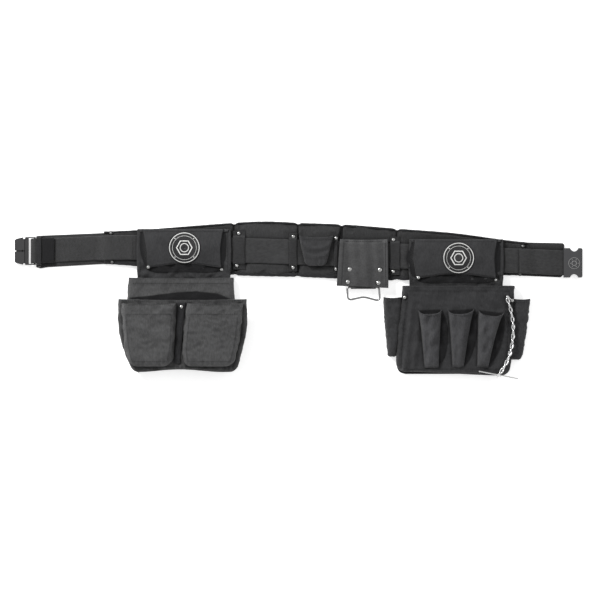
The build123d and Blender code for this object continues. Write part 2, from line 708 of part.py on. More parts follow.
with BuildPart() as hammer_plate:
    with BuildSketch(Plane.XY.offset(PLATE_Z)):
        with Locations(((PLATE[0] + PLATE[1]) / 2, (PLATE_Y[0] + PLATE_Y[1]) / 2)):
            RectangleRounded(PLATE[1] - PLATE[0], PLATE_Y[1] - PLATE_Y[0], 4.0)
    extrude(amount=3.0)
    chamfer(hammer_plate.edges().group_by(Axis.Z)[-1], 0.6)
write(hammer_plate, "hammer_plate")

HAMMER_RIVETS = [(102.4, 61.8), (163.0, 60.6), (110.6, 36.8), (148.6, 36.8)]
write(rivets(HAMMER_RIVETS, PLATE_Z + 3.0, head_r=4.5, shank=4.0), "hammer_rivets")

with BuildPart() as loop_bracket:
    with BuildSketch(Plane.YZ.offset(BRACKET_X[0])):
        with Locations((LOOP_Y + 3.5, (PLATE_Z + LOOP_Z - 3.4) / 2)):
            RectangleRounded(14.0, PLATE_Z - LOOP_Z + 3.4, 1.6)
        with Locations((LOOP_Y, LOOP_Z)):
            Circle(LOOP_R + 0.1, mode=Mode.SUBTRACT)
    extrude(amount=BRACKET_X[1] - BRACKET_X[0])
write(loop_bracket, "loop_bracket")

with BuildPart() as hammer_loop:
    with BuildLine(Plane.XY.offset(LOOP_Z)) as loop_line:
        FilletPolyline(
            (115.6, LOOP_Y), (97.2, LOOP_Y), (99.2, -0.2), (130.6, 6.6), (163.2, -2.0),
            (161.2, LOOP_Y), (143.6, LOOP_Y),
            radius=[4.6, 6.0, 30.0, 6.0, 4.6],
        )
    with BuildSketch(Plane(origin=loop_line.line @ 0, z_dir=loop_line.line % 0)):
        Circle(LOOP_R)
    sweep()
write(hammer_loop, "hammer_loop")
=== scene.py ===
"""Looks of the carpenter's tool belt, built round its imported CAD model.

Lengths in this file are millimetres until they reach Blender, which takes metres.
"""
import math

import bpy
import numpy as np
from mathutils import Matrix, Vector
from mathutils.bvhtree import BVHTree


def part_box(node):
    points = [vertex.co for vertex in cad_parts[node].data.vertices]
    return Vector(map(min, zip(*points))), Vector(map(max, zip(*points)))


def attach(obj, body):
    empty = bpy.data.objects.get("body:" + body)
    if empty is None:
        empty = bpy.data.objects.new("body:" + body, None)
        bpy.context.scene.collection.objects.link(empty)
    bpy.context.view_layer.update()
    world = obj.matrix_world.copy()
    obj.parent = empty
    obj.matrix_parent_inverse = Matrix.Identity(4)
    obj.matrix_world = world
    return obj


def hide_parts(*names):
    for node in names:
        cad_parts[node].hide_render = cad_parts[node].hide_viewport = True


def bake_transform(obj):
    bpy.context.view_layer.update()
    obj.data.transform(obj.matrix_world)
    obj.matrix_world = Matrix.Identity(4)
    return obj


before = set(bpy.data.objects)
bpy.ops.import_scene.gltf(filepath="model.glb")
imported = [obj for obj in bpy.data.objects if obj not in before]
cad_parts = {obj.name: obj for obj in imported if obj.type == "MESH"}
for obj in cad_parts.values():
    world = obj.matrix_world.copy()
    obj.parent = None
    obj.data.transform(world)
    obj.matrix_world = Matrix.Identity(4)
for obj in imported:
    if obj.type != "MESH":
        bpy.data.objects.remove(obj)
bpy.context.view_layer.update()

MM = 0.001
PI = math.pi
SCENE = bpy.context.scene


# ------------------------------------------------------------------ numbers shared with the CAD
FOLD_X = -0.4
LEFT_TAIL_X = -390.4
RIGHT_TAIL_X = 458.6
PAD_SEAMS = [LEFT_TAIL_X, -128.4, FOLD_X, 86.6, 197.6, RIGHT_TAIL_X]
WEB_HALF = 25.0
WEB_MID = 13.6              # height of the webbing on the pad
TAIL_LOW = 4.4              # heights of the tail's two layers
TAIL_HIGH = 10.0
HINGE_Y = {"left": 49.7, "right": 33.7}


def corners(node):
    """Lowest and highest corner of a CAD node, in mm."""
    low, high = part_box(node)
    return np.array(low) / MM, np.array(high) / MM


def node_points(*names):
    """All vertices of some CAD nodes, in mm."""
    return np.array([v.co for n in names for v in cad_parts[n].data.vertices], float) / MM


def edge_curve(points, keep):
    """A function of x through the points that keep picks out."""
    chosen = points[keep(points)]
    chosen = chosen[np.argsort(chosen[:, 0])]
    return lambda x: np.interp(x, chosen[:, 0], chosen[:, 1])


def edges(points, middle):
    """Upper and lower edge of a strip of points, parted by a function that gives its middle."""
    return (
        edge_curve(points, lambda p: p[:, 1] > middle(p[:, 0])),
        edge_curve(points, lambda p: p[:, 1] < middle(p[:, 0])),
    )


pad_top, pad_bottom = edges(node_points("pad_front_left", "pad_front_right"), lambda x: 95.0)
web_top, web_low = edges(
    node_points("webbing_left", "webbing_right", "tail_webbing_left", "tail_webbing_right"),
    lambda x: 96.6 - 0.022 * x,
)


def belt_y(x):
    """Centre line of the belt at x."""
    return (web_top(x) + web_low(x)) / 2


# ------------------------------------------------------------------ small mathematics
def smooth(a, b, x):
    """Smooth step from 0 at a to 1 at b."""
    t = np.clip((np.asarray(x, float) - a) / (b - a), 0.0, 1.0)
    return t * t * (3 - 2 * t)


def bell(x, centre, width):
    """A smooth bump of height 1."""
    return np.exp(-((x - centre) / width) ** 2)


def arch(t):
    """Half a sine wave: 0 at t = 0 and 1, 1 halfway."""
    return np.abs(np.sin(PI * t))


def squared(value, power):
    """A sine or cosine pushed out towards a square wave."""
    return math.copysign(abs(value) ** power, value)


def folds(x, y, seed, size):
    """Cloth-like waviness between -1 and 1, its folds about size mm apart."""
    rng = np.random.default_rng(seed)
    total = np.zeros_like(np.asarray(x, float))
    for _ in range(7):
        angle = rng.uniform(0, PI)
        length = size * rng.uniform(0.6, 1.8)
        phase = rng.uniform(0, 2 * PI, 2)
        along = x * math.cos(angle) + y * math.sin(angle)
        across = y * math.cos(angle) - x * math.sin(angle)
        bend = 1.4 * np.sin(across * 2.1 / length + phase[1])
        total = total + np.sin(along * 2 * PI / length + bend + phase[0])
    return total / 4.0


def path_length(points):
    return np.linalg.norm(np.diff(points, axis=0), axis=1).sum()


def resample(points, count):
    """count points evenly spaced along a polyline."""
    points = np.asarray(points, float)
    steps = np.linalg.norm(np.diff(points, axis=0), axis=1)
    run = np.concatenate([[0.0], np.cumsum(steps)])
    at = np.linspace(0.0, run[-1], count)
    return np.stack([np.interp(at, run, column) for column in points.T], axis=1)


def closed_outline(points, count):
    """count points evenly spaced round a closed outline."""
    return resample(np.vstack([points, points[:1]]), count + 1)[:-1]


def rounded_path(points, radius, steps=6):
    """A polyline with its corners rounded."""
    points = [np.asarray(p, float) for p in points]
    path = [points[0]]
    for before, corner, after in zip(points, points[1:], points[2:]):
        sides = before - corner, after - corner
        longs = [max(np.linalg.norm(side), 1e-6) for side in sides]
        reach = min(radius, 0.48 * min(longs))
        start, end = (corner + side / long * reach for side, long in zip(sides, longs))
        for t in np.linspace(0, 1, steps):
            path.append((1 - t) ** 2 * start + 2 * t * (1 - t) * corner + t * t * end)
    return np.array(path + [points[-1]])


def row(x, y, z):
    """Points from coordinates that are arrays or numbers."""
    return np.stack(np.broadcast_arrays(x, y, z), axis=-1)


def ring_angles(count):
    return np.linspace(0, 2 * PI, count, endpoint=False)


def centre_of(node):
    """Centre of a CAD node seen from above."""
    low, high = corners(node)
    return ((low[0] + high[0]) / 2, (low[1] + high[1]) / 2)


# ------------------------------------------------------------------ meshes
def make_object(name, verts, faces):
    """A new object from vertices in mm."""
    mesh = bpy.data.meshes.new(name)
    mesh.from_pydata([tuple(v) for v in np.asarray(verts, float) * MM], [], faces)
    mesh.update()
    mesh.polygons.foreach_set("use_smooth", [True] * len(mesh.polygons))
    obj = bpy.data.objects.new(name, mesh)
    SCENE.collection.objects.link(obj)
    return obj


def grid_faces(rows, cols, close_rows=False, close_cols=False):
    """Quads over a grid of rows by cols vertices."""
    faces = []
    for r in range(rows if close_rows else rows - 1):
        here, below = r * cols, (r + 1) % rows * cols
        for c in range(cols if close_cols else cols - 1):
            c2 = (c + 1) % cols
            faces.append((here + c, below + c, below + c2, here + c2))
    return faces


def rod_faces(rows, cols):
    """Faces of a rod made of rings, with a cap on each end."""
    last = (rows - 1) * cols
    caps = [tuple(range(cols)), tuple(range(last, last + cols))[::-1]]
    return grid_faces(rows, cols, close_cols=True) + caps


def modify(obj, kind, **settings):
    """Adds a modifier and sets its values."""
    modifier = obj.modifiers.new(kind.lower(), kind)
    for key, value in settings.items():
        setattr(modifier, key, value)
    return modifier


def baked(obj):
    """Applies the modifiers of an object to its mesh."""
    bpy.context.view_layer.update()
    graph = bpy.context.evaluated_depsgraph_get()
    mesh = bpy.data.meshes.new_from_object(obj.evaluated_get(graph))
    old = obj.data
    obj.modifiers.clear()
    obj.data = mesh
    bpy.data.meshes.remove(old)
    return obj


def thicken(obj, thickness, offset=-1.0):
    """Gives a sheet its thickness, below its face for offset -1."""
    modify(obj, "SOLIDIFY", thickness=thickness * MM, offset=offset, use_even_offset=False)
    return baked(obj)


def cloth(name, rows, thickness, offset=-1.0, close_rows=False):
    """A sheet of some thickness through rows of points."""
    rows = np.array(rows)
    faces = grid_faces(*rows.shape[:2], close_rows=close_rows)
    return thicken(make_object(name, rows.reshape(-1, 3), faces), thickness, offset)


def get_points(obj):
    co = np.zeros(len(obj.data.vertices) * 3, np.float32)
    obj.data.vertices.foreach_get("co", co)
    return co.reshape(-1, 3).astype(float) / MM


def set_points(obj, points):
    obj.data.vertices.foreach_set("co", (points * MM).astype(np.float32).ravel())
    obj.data.update()


def tube(path, radius, sides=8, closed=False):
    """Vertices and faces of a round tube along a path of points."""
    path = np.asarray(path, float)
    if closed:
        ahead = np.roll(path, -1, axis=0) - np.roll(path, 1, axis=0)
    else:
        ahead = np.gradient(path, axis=0)
    ahead /= np.linalg.norm(ahead, axis=1)[:, None]
    side = np.cross(ahead[0], [0.31, 0.22, 0.92])
    angles = ring_angles(sides)[:, None]
    rings = []
    for point, along in zip(path, ahead):
        side = side - along * np.dot(side, along)
        side /= np.linalg.norm(side)
        rings.append(point + radius * (np.cos(angles) * side + np.sin(angles) * np.cross(along, side)))
    faces = grid_faces(len(path), sides, True, True) if closed else rod_faces(len(path), sides)
    return np.vstack(rings), faces


def joined(name, parts):
    """One object from several (vertices, faces) pairs."""
    faces = []
    start = 0
    for verts, part_faces in parts:
        faces += [tuple(start + i for i in f) for f in part_faces]
        start += len(verts)
    return make_object(name, np.vstack([verts for verts, _ in parts]), faces)


def lathe(profile, centre, sides=24):
    """Vertices and faces of a profile of (radius, height) turned about a vertical axis."""
    x, y, z = centre
    angles = ring_angles(sides)
    verts = [(x + r * math.cos(a), y + r * math.sin(a), z + h) for r, h in profile for a in angles]
    return np.array(verts), [f[::-1] for f in rod_faces(len(profile), sides)]


# ------------------------------------------------------------------ materials
# painted shade: recesses are darkened in the colour itself
PAINTED_SHADE_REACH = 14.0         # how far the painted shade of a recess looks for cover
# share of the darker tone that the painted shade reaches in a fully covered recess
PAINTED_SHADE_DARK = 0.12


def shader(name, colour, roughness, **sockets):
    """A principled material, its node tree and its shader."""
    mat = bpy.data.materials.new(name)
    mat.use_nodes = True
    bsdf = mat.node_tree.nodes["Principled BSDF"]
    bsdf.inputs["Base Color"].default_value = (*colour, 1.0)
    bsdf.inputs["Roughness"].default_value = roughness
    for key, value in sockets.items():
        bsdf.inputs[key.replace("_", " ")].default_value = value
    return mat, mat.node_tree, bsdf


def maths(operation, a, b=None):
    """A math node on sockets or numbers."""
    tree = (b if isinstance(a, float) else a).id_data
    node = tree.nodes.new("ShaderNodeMath")
    node.operation = operation
    for socket, value in zip(node.inputs, (a, b)):
        if isinstance(value, float):
            socket.default_value = value
        elif value is not None:
            tree.links.new(value, socket)
    return node.outputs[0]


def add(a, b):
    return maths("ADD", a, b)


def times(a, b):
    return maths("MULTIPLY", a, b)


def wave(place, pitch):
    """A sine over a coordinate, its pitch in mm."""
    return maths("SINE", times(place, 2 * PI / (pitch * MM)))


def coordinates(tree):
    """The object's own coordinates."""
    return tree.nodes.new("ShaderNodeTexCoord").outputs["Object"]


def axes(tree):
    """x, y and z of the object's own coordinates."""
    split = tree.nodes.new("ShaderNodeSeparateXYZ")
    tree.links.new(coordinates(tree), split.inputs[0])
    return split.outputs


def noise(tree, scale, detail=3.0, stretch=(1.0, 1.0, 1.0)):
    """A noise value, scale in waves per metre."""
    mapping = tree.nodes.new("ShaderNodeMapping")
    mapping.inputs["Scale"].default_value = stretch
    tree.links.new(coordinates(tree), mapping.inputs["Vector"])
    node = tree.nodes.new("ShaderNodeTexNoise")
    node.inputs["Scale"].default_value = scale
    node.inputs["Detail"].default_value = detail
    tree.links.new(mapping.outputs["Vector"], node.inputs["Vector"])
    return node.outputs["Fac"]


def scaled(colour, amount):
    return tuple(c * amount for c in colour)


def mix(factor, a, b):
    """A colour or socket a mixed with a colour b."""
    tree = factor.id_data
    node = tree.nodes.new("ShaderNodeMix")
    node.data_type = "RGBA"
    if isinstance(a, tuple):
        node.inputs[6].default_value = (*a, 1.0)
    else:
        tree.links.new(a, node.inputs[6])
    node.inputs[7].default_value = (*b, 1.0)
    tree.links.new(factor, node.inputs[0])
    return node.outputs[2]


def tint(bsdf, factor, colour, low, high, painted_shade_strength=0.0):
    """Varies a colour between two of its tones by a factor, and paints shade into its recesses by ambient
    occlusion.
    """
    tree = bsdf.id_data
    shade = mix(factor, scaled(colour, low), scaled(colour, high))
    if painted_shade_strength:
        # painted shade: ambient occlusion darkens the colour in creases, seams and under overlapping parts
        painted_shade_occlusion = tree.nodes.new("ShaderNodeAmbientOcclusion")
        painted_shade_occlusion.samples = 8
        painted_shade_occlusion.inputs["Distance"].default_value = PAINTED_SHADE_REACH * MM
        painted_shade_amount = maths("SUBTRACT", 1.0, painted_shade_occlusion.outputs["AO"])
        shade = mix(times(painted_shade_amount, painted_shade_strength), shade, scaled(colour, low * PAINTED_SHADE_DARK))
    tree.links.new(shade, bsdf.inputs["Base Color"])


def polish(bsdf, value, share, base):
    """Uneven roughness."""
    bsdf.id_data.links.new(add(times(value, share), base), bsdf.inputs["Roughness"])


def bumped(bsdf, height, distance):
    """Feeds a height to the shader's normal, distance in mm."""
    tree = bsdf.id_data
    bump = tree.nodes.new("ShaderNodeBump")
    bump.inputs["Distance"].default_value = distance * MM
    bump.inputs["Strength"].default_value = 1.0
    tree.links.new(height, bump.inputs["Height"])
    tree.links.new(bump.outputs["Normal"], bsdf.inputs["Normal"])


def woven(name, colour, pitch=1.3, depth=0.22, fuzz=0.35, roughness=0.82):
    """Woven cloth: threads, slubs, dusty high spots and a faint sheen."""
    mat, tree, bsdf = shader(
        name, colour, roughness, Sheen_Weight=0.10, Sheen_Roughness=0.55, Specular_IOR_Level=0.28)
    x, y, z = axes(tree)
    weave = times(wave(add(x, z), pitch), wave(add(y, z), pitch))
    slub = noise(tree, 900.0, 2.0)
    high = add(times(add(weave, 1.0), 0.22), times(noise(tree, 26.0, 4.0), 0.55))
    grain = times(noise(tree, 420.0, 2.0, (1.0, 0.35, 1.0)), 0.9)
    factor = add(add(high, times(slub, fuzz)), add(grain, -0.63))
    # its last number sets how strongly the colour is darkened in recesses as painted shade
    tint(bsdf, factor, colour, 0.5, 1.5, 1.25)
    bumped(bsdf, add(weave, times(slub, 1.6)), depth)
    return mat


def ribbed(name, colour, pitch=1.7):
    """Webbing: ribs along the strap, crossed by a fine weft."""
    mat, tree, bsdf = shader(
        name, colour, 0.72, Sheen_Weight=0.08, Sheen_Roughness=0.5, Specular_IOR_Level=0.32)
    x, y, _ = axes(tree)
    height = add(wave(y, pitch), times(wave(add(x, times(y, 0.5)), 0.9), 0.5))
    grain = times(noise(tree, 300.0, 2.0, (0.5, 1.0, 1.0)), 1.2)
    factor = add(add(times(height, 0.12), add(noise(tree, 30.0, 4.0), grain)), -0.6)
    # its last number sets how strongly the colour is darkened in recesses as painted shade
    tint(bsdf, factor, colour, 0.6, 1.4, 1.25)
    bumped(bsdf, height, 0.25)
    return mat


def metal(name, colour, roughness):
    """Plated steel with fine scratches and uneven polish."""
    mat, tree, bsdf = shader(name, colour, roughness, Metallic=1.0)
    marks = noise(tree, 700.0, 4.0, (1.0, 0.15, 1.0))
    tint(bsdf, noise(tree, 160.0), colour, 0.75, 1.1)
    polish(bsdf, marks, 0.16, roughness - 0.06)
    bumped(bsdf, marks, 0.05)
    return mat


def moulded(name, colour, roughness):
    """Moulded plastic or rubber: fine spark texture, paler worn edges."""
    mat, tree, bsdf = shader(name, colour, roughness)
    spark = noise(tree, 1500.0, 2.0)
    worn = tree.nodes.new("ShaderNodeNewGeometry").outputs["Pointiness"]
    # its last number sets how strongly the colour is darkened in recesses as painted shade
    tint(bsdf, add(times(spark, 0.5), times(add(worn, -0.5), 5.0)), colour, 0.8, 1.6, 0.8)
    polish(bsdf, noise(tree, 60.0), 0.2, roughness - 0.1)
    bumped(bsdf, spark, 0.05)
    return mat


def leather(name, colour):
    """Oiled leather: cell grain, soft creases and uneven shine."""
    mat, tree, bsdf = shader(name, colour, 0.55, Specular_IOR_Level=0.4)
    cells = tree.nodes.new("ShaderNodeTexVoronoi")
    cells.inputs["Scale"].default_value = 700.0
    tree.links.new(coordinates(tree), cells.inputs["Vector"])
    crease = noise(tree, 60.0, 5.0)
    blotch = add(crease, times(noise(tree, 300.0, 2.0), 0.9))
    # its last number sets how strongly the colour is darkened in recesses as painted shade
    tint(bsdf, add(blotch, -0.45), colour, 0.55, 1.5, 1.0)
    polish(bsdf, crease, 0.3, 0.42)
    bumped(bsdf, add(cells.outputs["Distance"], times(crease, 1.5)), 0.3)
    return mat


TUNNEL_CLOTH = (0.036, 0.036, 0.038)
RIGHT_CLOTH = (0.034, 0.034, 0.036)
MATS = {
    "pad": woven("pad_cloth", (0.037, 0.037, 0.038), pitch=1.0),
    "binding": ribbed("binding_tape", (0.020, 0.020, 0.022), pitch=1.2),
    "web": ribbed("belt_webbing", (0.040, 0.040, 0.041)),
    "keeper": ribbed("keeper_tape", (0.029, 0.029, 0.030), pitch=1.4),
    "pile": woven("loop_pile_cloth", (0.044, 0.044, 0.045), pitch=1.6, depth=0.6, fuzz=0.8),
    "left": woven("left_bag_cloth", (0.072, 0.072, 0.073)),
    "tunnel": woven("tunnel_cloth", TUNNEL_CLOTH),
    "cover": woven("cover_cloth", scaled(TUNNEL_CLOTH, 0.85), roughness=0.55),
    "right": woven("right_bag_cloth", RIGHT_CLOTH),
    # the right bag's cloth made 1.7 times lighter, a painted highlight on the sleeves
    "sleeve": woven("sleeve_cloth_painted_lighter", scaled(RIGHT_CLOTH, 1.7)),
    "belt_pocket": woven("belt_pocket_cloth", (0.038, 0.038, 0.040)),
    "leather": leather("holder_leather", (0.043, 0.043, 0.044)),
    "holder": woven("holder_cloth", (0.030, 0.030, 0.032)),
    "rubber": moulded("badge_rubber_black", (0.010, 0.010, 0.011), 0.5),
    "badge_grey": moulded("roundel_grey", (0.22, 0.22, 0.22), 0.5),
    "badge_light": moulded("badge_rubber_light", (0.55, 0.55, 0.54), 0.5),
    "plastic": moulded("buckle_plastic_black", (0.034, 0.034, 0.036), 0.40),
    "plug": moulded("plug_plastic_black", (0.015, 0.015, 0.016), 0.46),
    "rivet": metal("rivet_nickel", (0.62, 0.62, 0.61), 0.24),
    "rivet_dark": metal("rivet_blackened", (0.20, 0.20, 0.20), 0.38),
    # dark eyelet metal; its ring round each rivet head is partly painted shade
    "washer": metal("rivet_washer_and_painted_shade", (0.03, 0.03, 0.03), 0.45),
    "loop": metal("loop_wire", (0.34, 0.34, 0.34), 0.30),
    "chain": metal("chain_plating", (0.92, 0.92, 0.92), 0.22),
    # near-black cloth for the pad's lining and the hook tape, also used for the sheets of painted shadow
    "lining": woven("lining_and_painted_shadow_cloth", (0.005, 0.005, 0.006)),
    "thread": woven("thread_black", (0.030, 0.030, 0.032), pitch=0.6, depth=0.1),
    "thread_left": woven("thread_grey", (0.045, 0.045, 0.047), pitch=0.6, depth=0.1),
}

MIDDLE = ("belt_left", "belt")
LEFT_END = ("left_tail", "belt_left")
RIGHT_END = ("belt", "right_tail")


def ride(obj, body, material, slot, *nodes):
    """Material, body and CAD nodes of a piece; the slot is not used. On a pair of bodies it is attached to
    neither, its transform baked into its mesh.
    """
    obj.data.materials.clear()
    obj.data.materials.append(MATS[material])
    if isinstance(body, str):
        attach(obj, body)
    else:
        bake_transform(obj)
    if nodes:
        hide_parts(*nodes)
    return obj


# ------------------------------------------------------------------ rivets and stitches
RIVET_HEAD = [
    (0.0, 0.0), (3.4, 0.0), (3.5, 0.25), (3.3, 0.5), (2.9, 0.95), (2.2, 1.35), (1.3, 1.55),
    (0.9, 1.5), (0.01, 1.3),
]
WASHER = [(0.01, -0.4), (4.3, -0.4), (4.6, 0.0), (4.2, 0.25), (3.0, 0.2), (0.01, 0.2)]
STITCH_R = 0.42
STITCH_PITCH = 4.0
STITCH_LENGTH = 2.9
NOTHING = -99.0             # height where a surface has nothing under a point


def rivet_spots(node):
    """Centre of each rivet of a CAD node, at the height that its head stands on."""
    points = node_points(node)
    spots = []
    while len(points):
        near = np.hypot(points[:, 0] - points[0, 0], points[:, 1] - points[0, 1]) < 12.0
        group, points = points[near], points[~near]
        rim = group[np.argsort(group[:, 0])][-1]
        low, high = group.min(axis=0), group.max(axis=0)
        spots.append(((low[0] + high[0]) / 2, (low[1] + high[1]) / 2, rim[2]))
    return spots


def rivets(name, spots, body, *nodes, size=1.0, raise_by=0.0, material="rivet"):
    """Domed rivet heads."""
    head = [(max(r * size, 0.01), h * size) for r, h in RIVET_HEAD]
    heads = joined(name, [lathe(head, (x, y, z + raise_by)) for x, y, z in spots])
    ride(heads, body, material, "rivet_steel", *nodes)


def washers(name, spots, body, size=1.0, raise_by=0.0):
    """Thin dark eyelets under the rivet heads, whose dark rim also stands in for the shade round each head.
    """
    rim = [(r * size if r > 1.0 else r, h) for r, h in WASHER]
    eyelets = joined(name, [lathe(rim, (x, y, z + raise_by)) for x, y, z in spots])
    ride(eyelets, body, "washer", "rivet_steel")


def surface(*objs):
    """A function that gives the height and normal of the highest of some objects over a point."""
    bpy.context.view_layer.update()
    graph = bpy.context.evaluated_depsgraph_get()
    trees = [BVHTree.FromObject(o, graph) for o in objs]

    def probe(x, y, fallback=0.0):
        best = (fallback, Vector((0, 0, 1)))
        for tree in trees:
            hit, normal, _, _ = tree.ray_cast(Vector((x * MM, y * MM, 0.3)), Vector((0, 0, -1)))
            if hit is not None and hit.z / MM > best[0]:
                best = (hit.z / MM, normal)
        return best
    return probe


def stood(spots, probe, fallback=0.0):
    """Spots moved to the height of a surface."""
    return [(x, y, probe(x, y, fallback)[0]) for x, y, _ in spots]


def sewn(name, lines, probe, body, slot, thread="thread"):
    """Rows of single stitches laid on a surface along lines seen from above."""
    parts = []
    for line in lines:
        count = max(2, int(path_length(np.asarray(line, float)) / STITCH_PITCH))
        marks = resample(line, 2 * count + 1)
        for before, mid, after in zip(marks[::2], marks[1::2], marks[2::2]):
            ahead = after - before
            ahead = ahead / (np.linalg.norm(ahead) + 1e-9) * STITCH_LENGTH / 2
            points = []
            for t in (-1.0, -0.5, 0.0, 0.5, 1.0):
                x, y = mid + ahead * t
                z, normal = probe(x, y, NOTHING)
                lift = STITCH_R * (0.75 - 0.9 * abs(t) ** 3)
                points.append((x + normal.x * lift, y + normal.y * lift, z + normal.z * lift))
            zs = [p[2] for p in points]
            if min(zs) > NOTHING and max(zs) - min(zs) <= 2.5:
                parts.append(tube(points, STITCH_R, sides=6))
    ride(joined(name, parts), body, thread, slot)


# ------------------------------------------------------------------ padded belt
VOXEL = 4.5
PRESSURE = 4.0
SWELL_CAP = 5.0
SWELL_FRAMES = 20
CLOTH = {
    "use_pressure": True, "uniform_pressure_force": PRESSURE, "quality": 4, "mass": 0.3,
    "tension_stiffness": 12.0, "compression_stiffness": 12.0, "bending_stiffness": 0.4,
}
# what lies on the pad: spans of x with their fade and the height left under them
PANELS = ((-372.0, -130.0), (78.0, 185.0), (216.0, 437.0))
KEEPER_FEET = ((-131.0, -107.0), (-19.0, -3.0), (71.0, 78.8), (183.8, 203.0))
BELT_SPOTS = rivet_spots("belt_rivets_left") + rivet_spots("belt_rivets_right")


def notch(x, width=4.0):
    """How far the pad's edges are drawn in at its seams."""
    return sum(bell(x, seam, width) for seam in PAD_SEAMS[1:-1])


def pad_limit(x, y):
    """How high the pad may swell at a point, under what lies on it."""
    limit = np.full_like(x, 13.4)
    web = np.abs(y - belt_y(x))
    limit = np.where(web < 29.0, np.minimum(limit, 11.9 + 1.5 * smooth(26.0, 29.0, web)), limit)
    for spans, fade, top, share in (
        (PANELS, 9.0, 10.0, 1.0), (KEEPER_FEET, 12.0, 9.9, 1 - smooth(39.0, 46.0, web)),
    ):
        for x0, x1 in spans:
            inside = smooth(x0 - fade, x0, x) * (1 - smooth(x1, x1 + fade, x))
            limit = limit - inside * share * np.maximum(limit - top, 0.0)
    return limit


def pad_blank(name, x0, x1):
    """A closed, slightly small shape of one padded section."""
    rows = max(8, int((x1 - x0) / 6))
    points = []
    for k in range(rows + 1):
        x = x0 + 0.5 + (x1 - x0 - 1.0) * k / rows
        near = 1 - min(1.0, min(x - x0, x1 - x) / 9.0)
        full = 0.42 + 0.58 * math.sqrt(1 - near ** 2)
        middle = (pad_top(x) + pad_bottom(x)) / 2
        half = (pad_top(x) - pad_bottom(x)) / 2 - 1.8 - 1.5 * near
        for a in ring_angles(28):
            y = middle + half * squared(math.cos(a), 0.28)
            points.append((x, y, 4.9 + 4.3 * full * squared(math.sin(a), 0.6)))
    return make_object(name, points, rod_faces(rows + 1, 28))


def swell(obj):
    """Inflates a closed mesh with Blender's cloth, and caps how far each point moves."""
    rest = get_points(obj)
    settings = modify(obj, "CLOTH").settings
    for key, value in CLOTH.items():
        setattr(settings, key, value)
    settings.effector_weights.gravity = 0.0
    for number in range(1, SWELL_FRAMES + 1):
        SCENE.frame_set(number)
    baked(obj)
    moved = get_points(obj) - rest
    reach = np.maximum(np.linalg.norm(moved, axis=1), 1e-6)
    set_points(obj, rest + moved * np.minimum(1.0, SWELL_CAP / reach)[:, None])
    SCENE.frame_set(1)


def pucker(points, spots, depth, reach, seed):
    """Draws cloth in round rivets, with short creases that run out from them."""
    rng = np.random.default_rng(seed)
    for x, y, _ in spots:
        dx, dy = points[:, 0] - x, points[:, 1] - y
        r = np.hypot(dx, dy)
        angle = np.arctan2(dy, dx)
        phase = rng.uniform(0, 6.28, 2)
        rays = np.sin(5 * angle + phase[0]) + 0.6 * np.sin(8 * angle + phase[1])
        fade = np.exp(-(r / reach) ** 1.4)
        points[:, 2] += fade * depth * (0.45 * rays * smooth(2.0, 9.0, r) - bell(r, 0.0, reach * 0.6))
    return points


def refit(p, x0, x1):
    """Spreads a section's points back out to its seams and to the binding."""
    p[:, 0] = x0 + 0.1 + (p[:, 0] - p[:, 0].min()) * (x1 - x0 - 0.2) / np.ptp(p[:, 0])
    slots = np.arange(x0 + 3.0, x1, 6.0)
    near = [p[np.abs(p[:, 0] - x) < 4.5, 1] for x in slots]
    low = np.interp(p[:, 0], slots, [n.min() for n in near])
    high = np.interp(p[:, 0], slots, [n.max() for n in near])
    floor_y = pad_bottom(p[:, 0]) + 1.0
    share = np.clip((p[:, 1] - low) / (high - low), 0.0, 1.0)
    p[:, 1] = floor_y + share * (pad_top(p[:, 0]) - 1.0 - floor_y)
    return p


def pad_section(number, x0, x1):
    """One foam-filled section of the belt's pad."""
    seed = 10 + number
    obj = pad_blank(f"pad_section_{number}", x0, x1)
    modify(obj, "REMESH", mode="VOXEL", voxel_size=VOXEL * MM, use_smooth_shade=True)
    baked(obj)
    swell(obj)
    modify(obj, "SUBSURF", levels=1, render_levels=1)
    baked(obj)
    p = refit(get_points(obj), x0, x1)
    x, y = p[:, 0], p[:, 1]
    upper = smooth(4.0, 8.0, p[:, 2])
    p[:, 2] += upper * folds(x, y, seed, 30.0)
    creases = np.sin((x - x0) * 0.16 + 1.3 * np.sin(y * 0.05 + seed)) ** 3
    p[:, 2] += upper * 1.6 * creases * np.exp(-np.minimum(x - x0, x1 - x) / 22.0)
    top = p[:, 2] > 6.0
    p[top] = pucker(p[top].copy(), BELT_SPOTS, 2.6, 17.0, seed)
    p[:, 2] = np.clip(p[:, 2], 0.05, pad_limit(x, y))
    p[:, 1] = np.clip(y, pad_bottom(x) + 0.3 + 1.5 * notch(x), pad_top(x) - 0.2 - 3.0 * notch(x))
    p[:, 0] = np.clip(x, x0 + 0.1, x1 - 0.1)
    set_points(obj, p)
    return obj


def binding(name, x0, x1, edge, inward, width):
    """Tape folded over the pad's edge and sewn down."""
    rows = int((x1 - x0) / 3)
    points = []
    for k in range(rows + 1):
        x = x0 + (x1 - x0) * k / rows
        y = edge(x) + inward * 2.6 * notch(x)
        pinch = 1.0 - 0.30 * notch(x, 5.0) + 0.05 * math.sin(x * 0.45) + 0.04 * math.sin(x * 0.21 + 1.0)
        for a in ring_angles(14):
            in_by = width / 2 * (1 - pinch * squared(math.cos(a), 0.7))
            points.append((x, y + inward * in_by, max(0.02, 5.0 + 5.3 * pinch * squared(math.sin(a), 0.7))))
    return make_object(name, points, rod_faces(rows + 1, 14))


def pad_lining(name, x0, x1):
    """Flat cloth behind the pad, climbing into the seams between its sections."""
    t = np.linspace(0, 1, 30)
    grid = []
    for x in np.linspace(x0, x1, max(4, int((x1 - x0) / 2.5))):
        y = pad_bottom(x) + 2.0 + (pad_top(x) - pad_bottom(x) - 5.0) * t
        grid.append(row(x, y, 1.2 + 4.6 * notch(x) + 0.15 * folds(x, y, 9, 30.0)))
    return cloth(name, grid, 1.0)


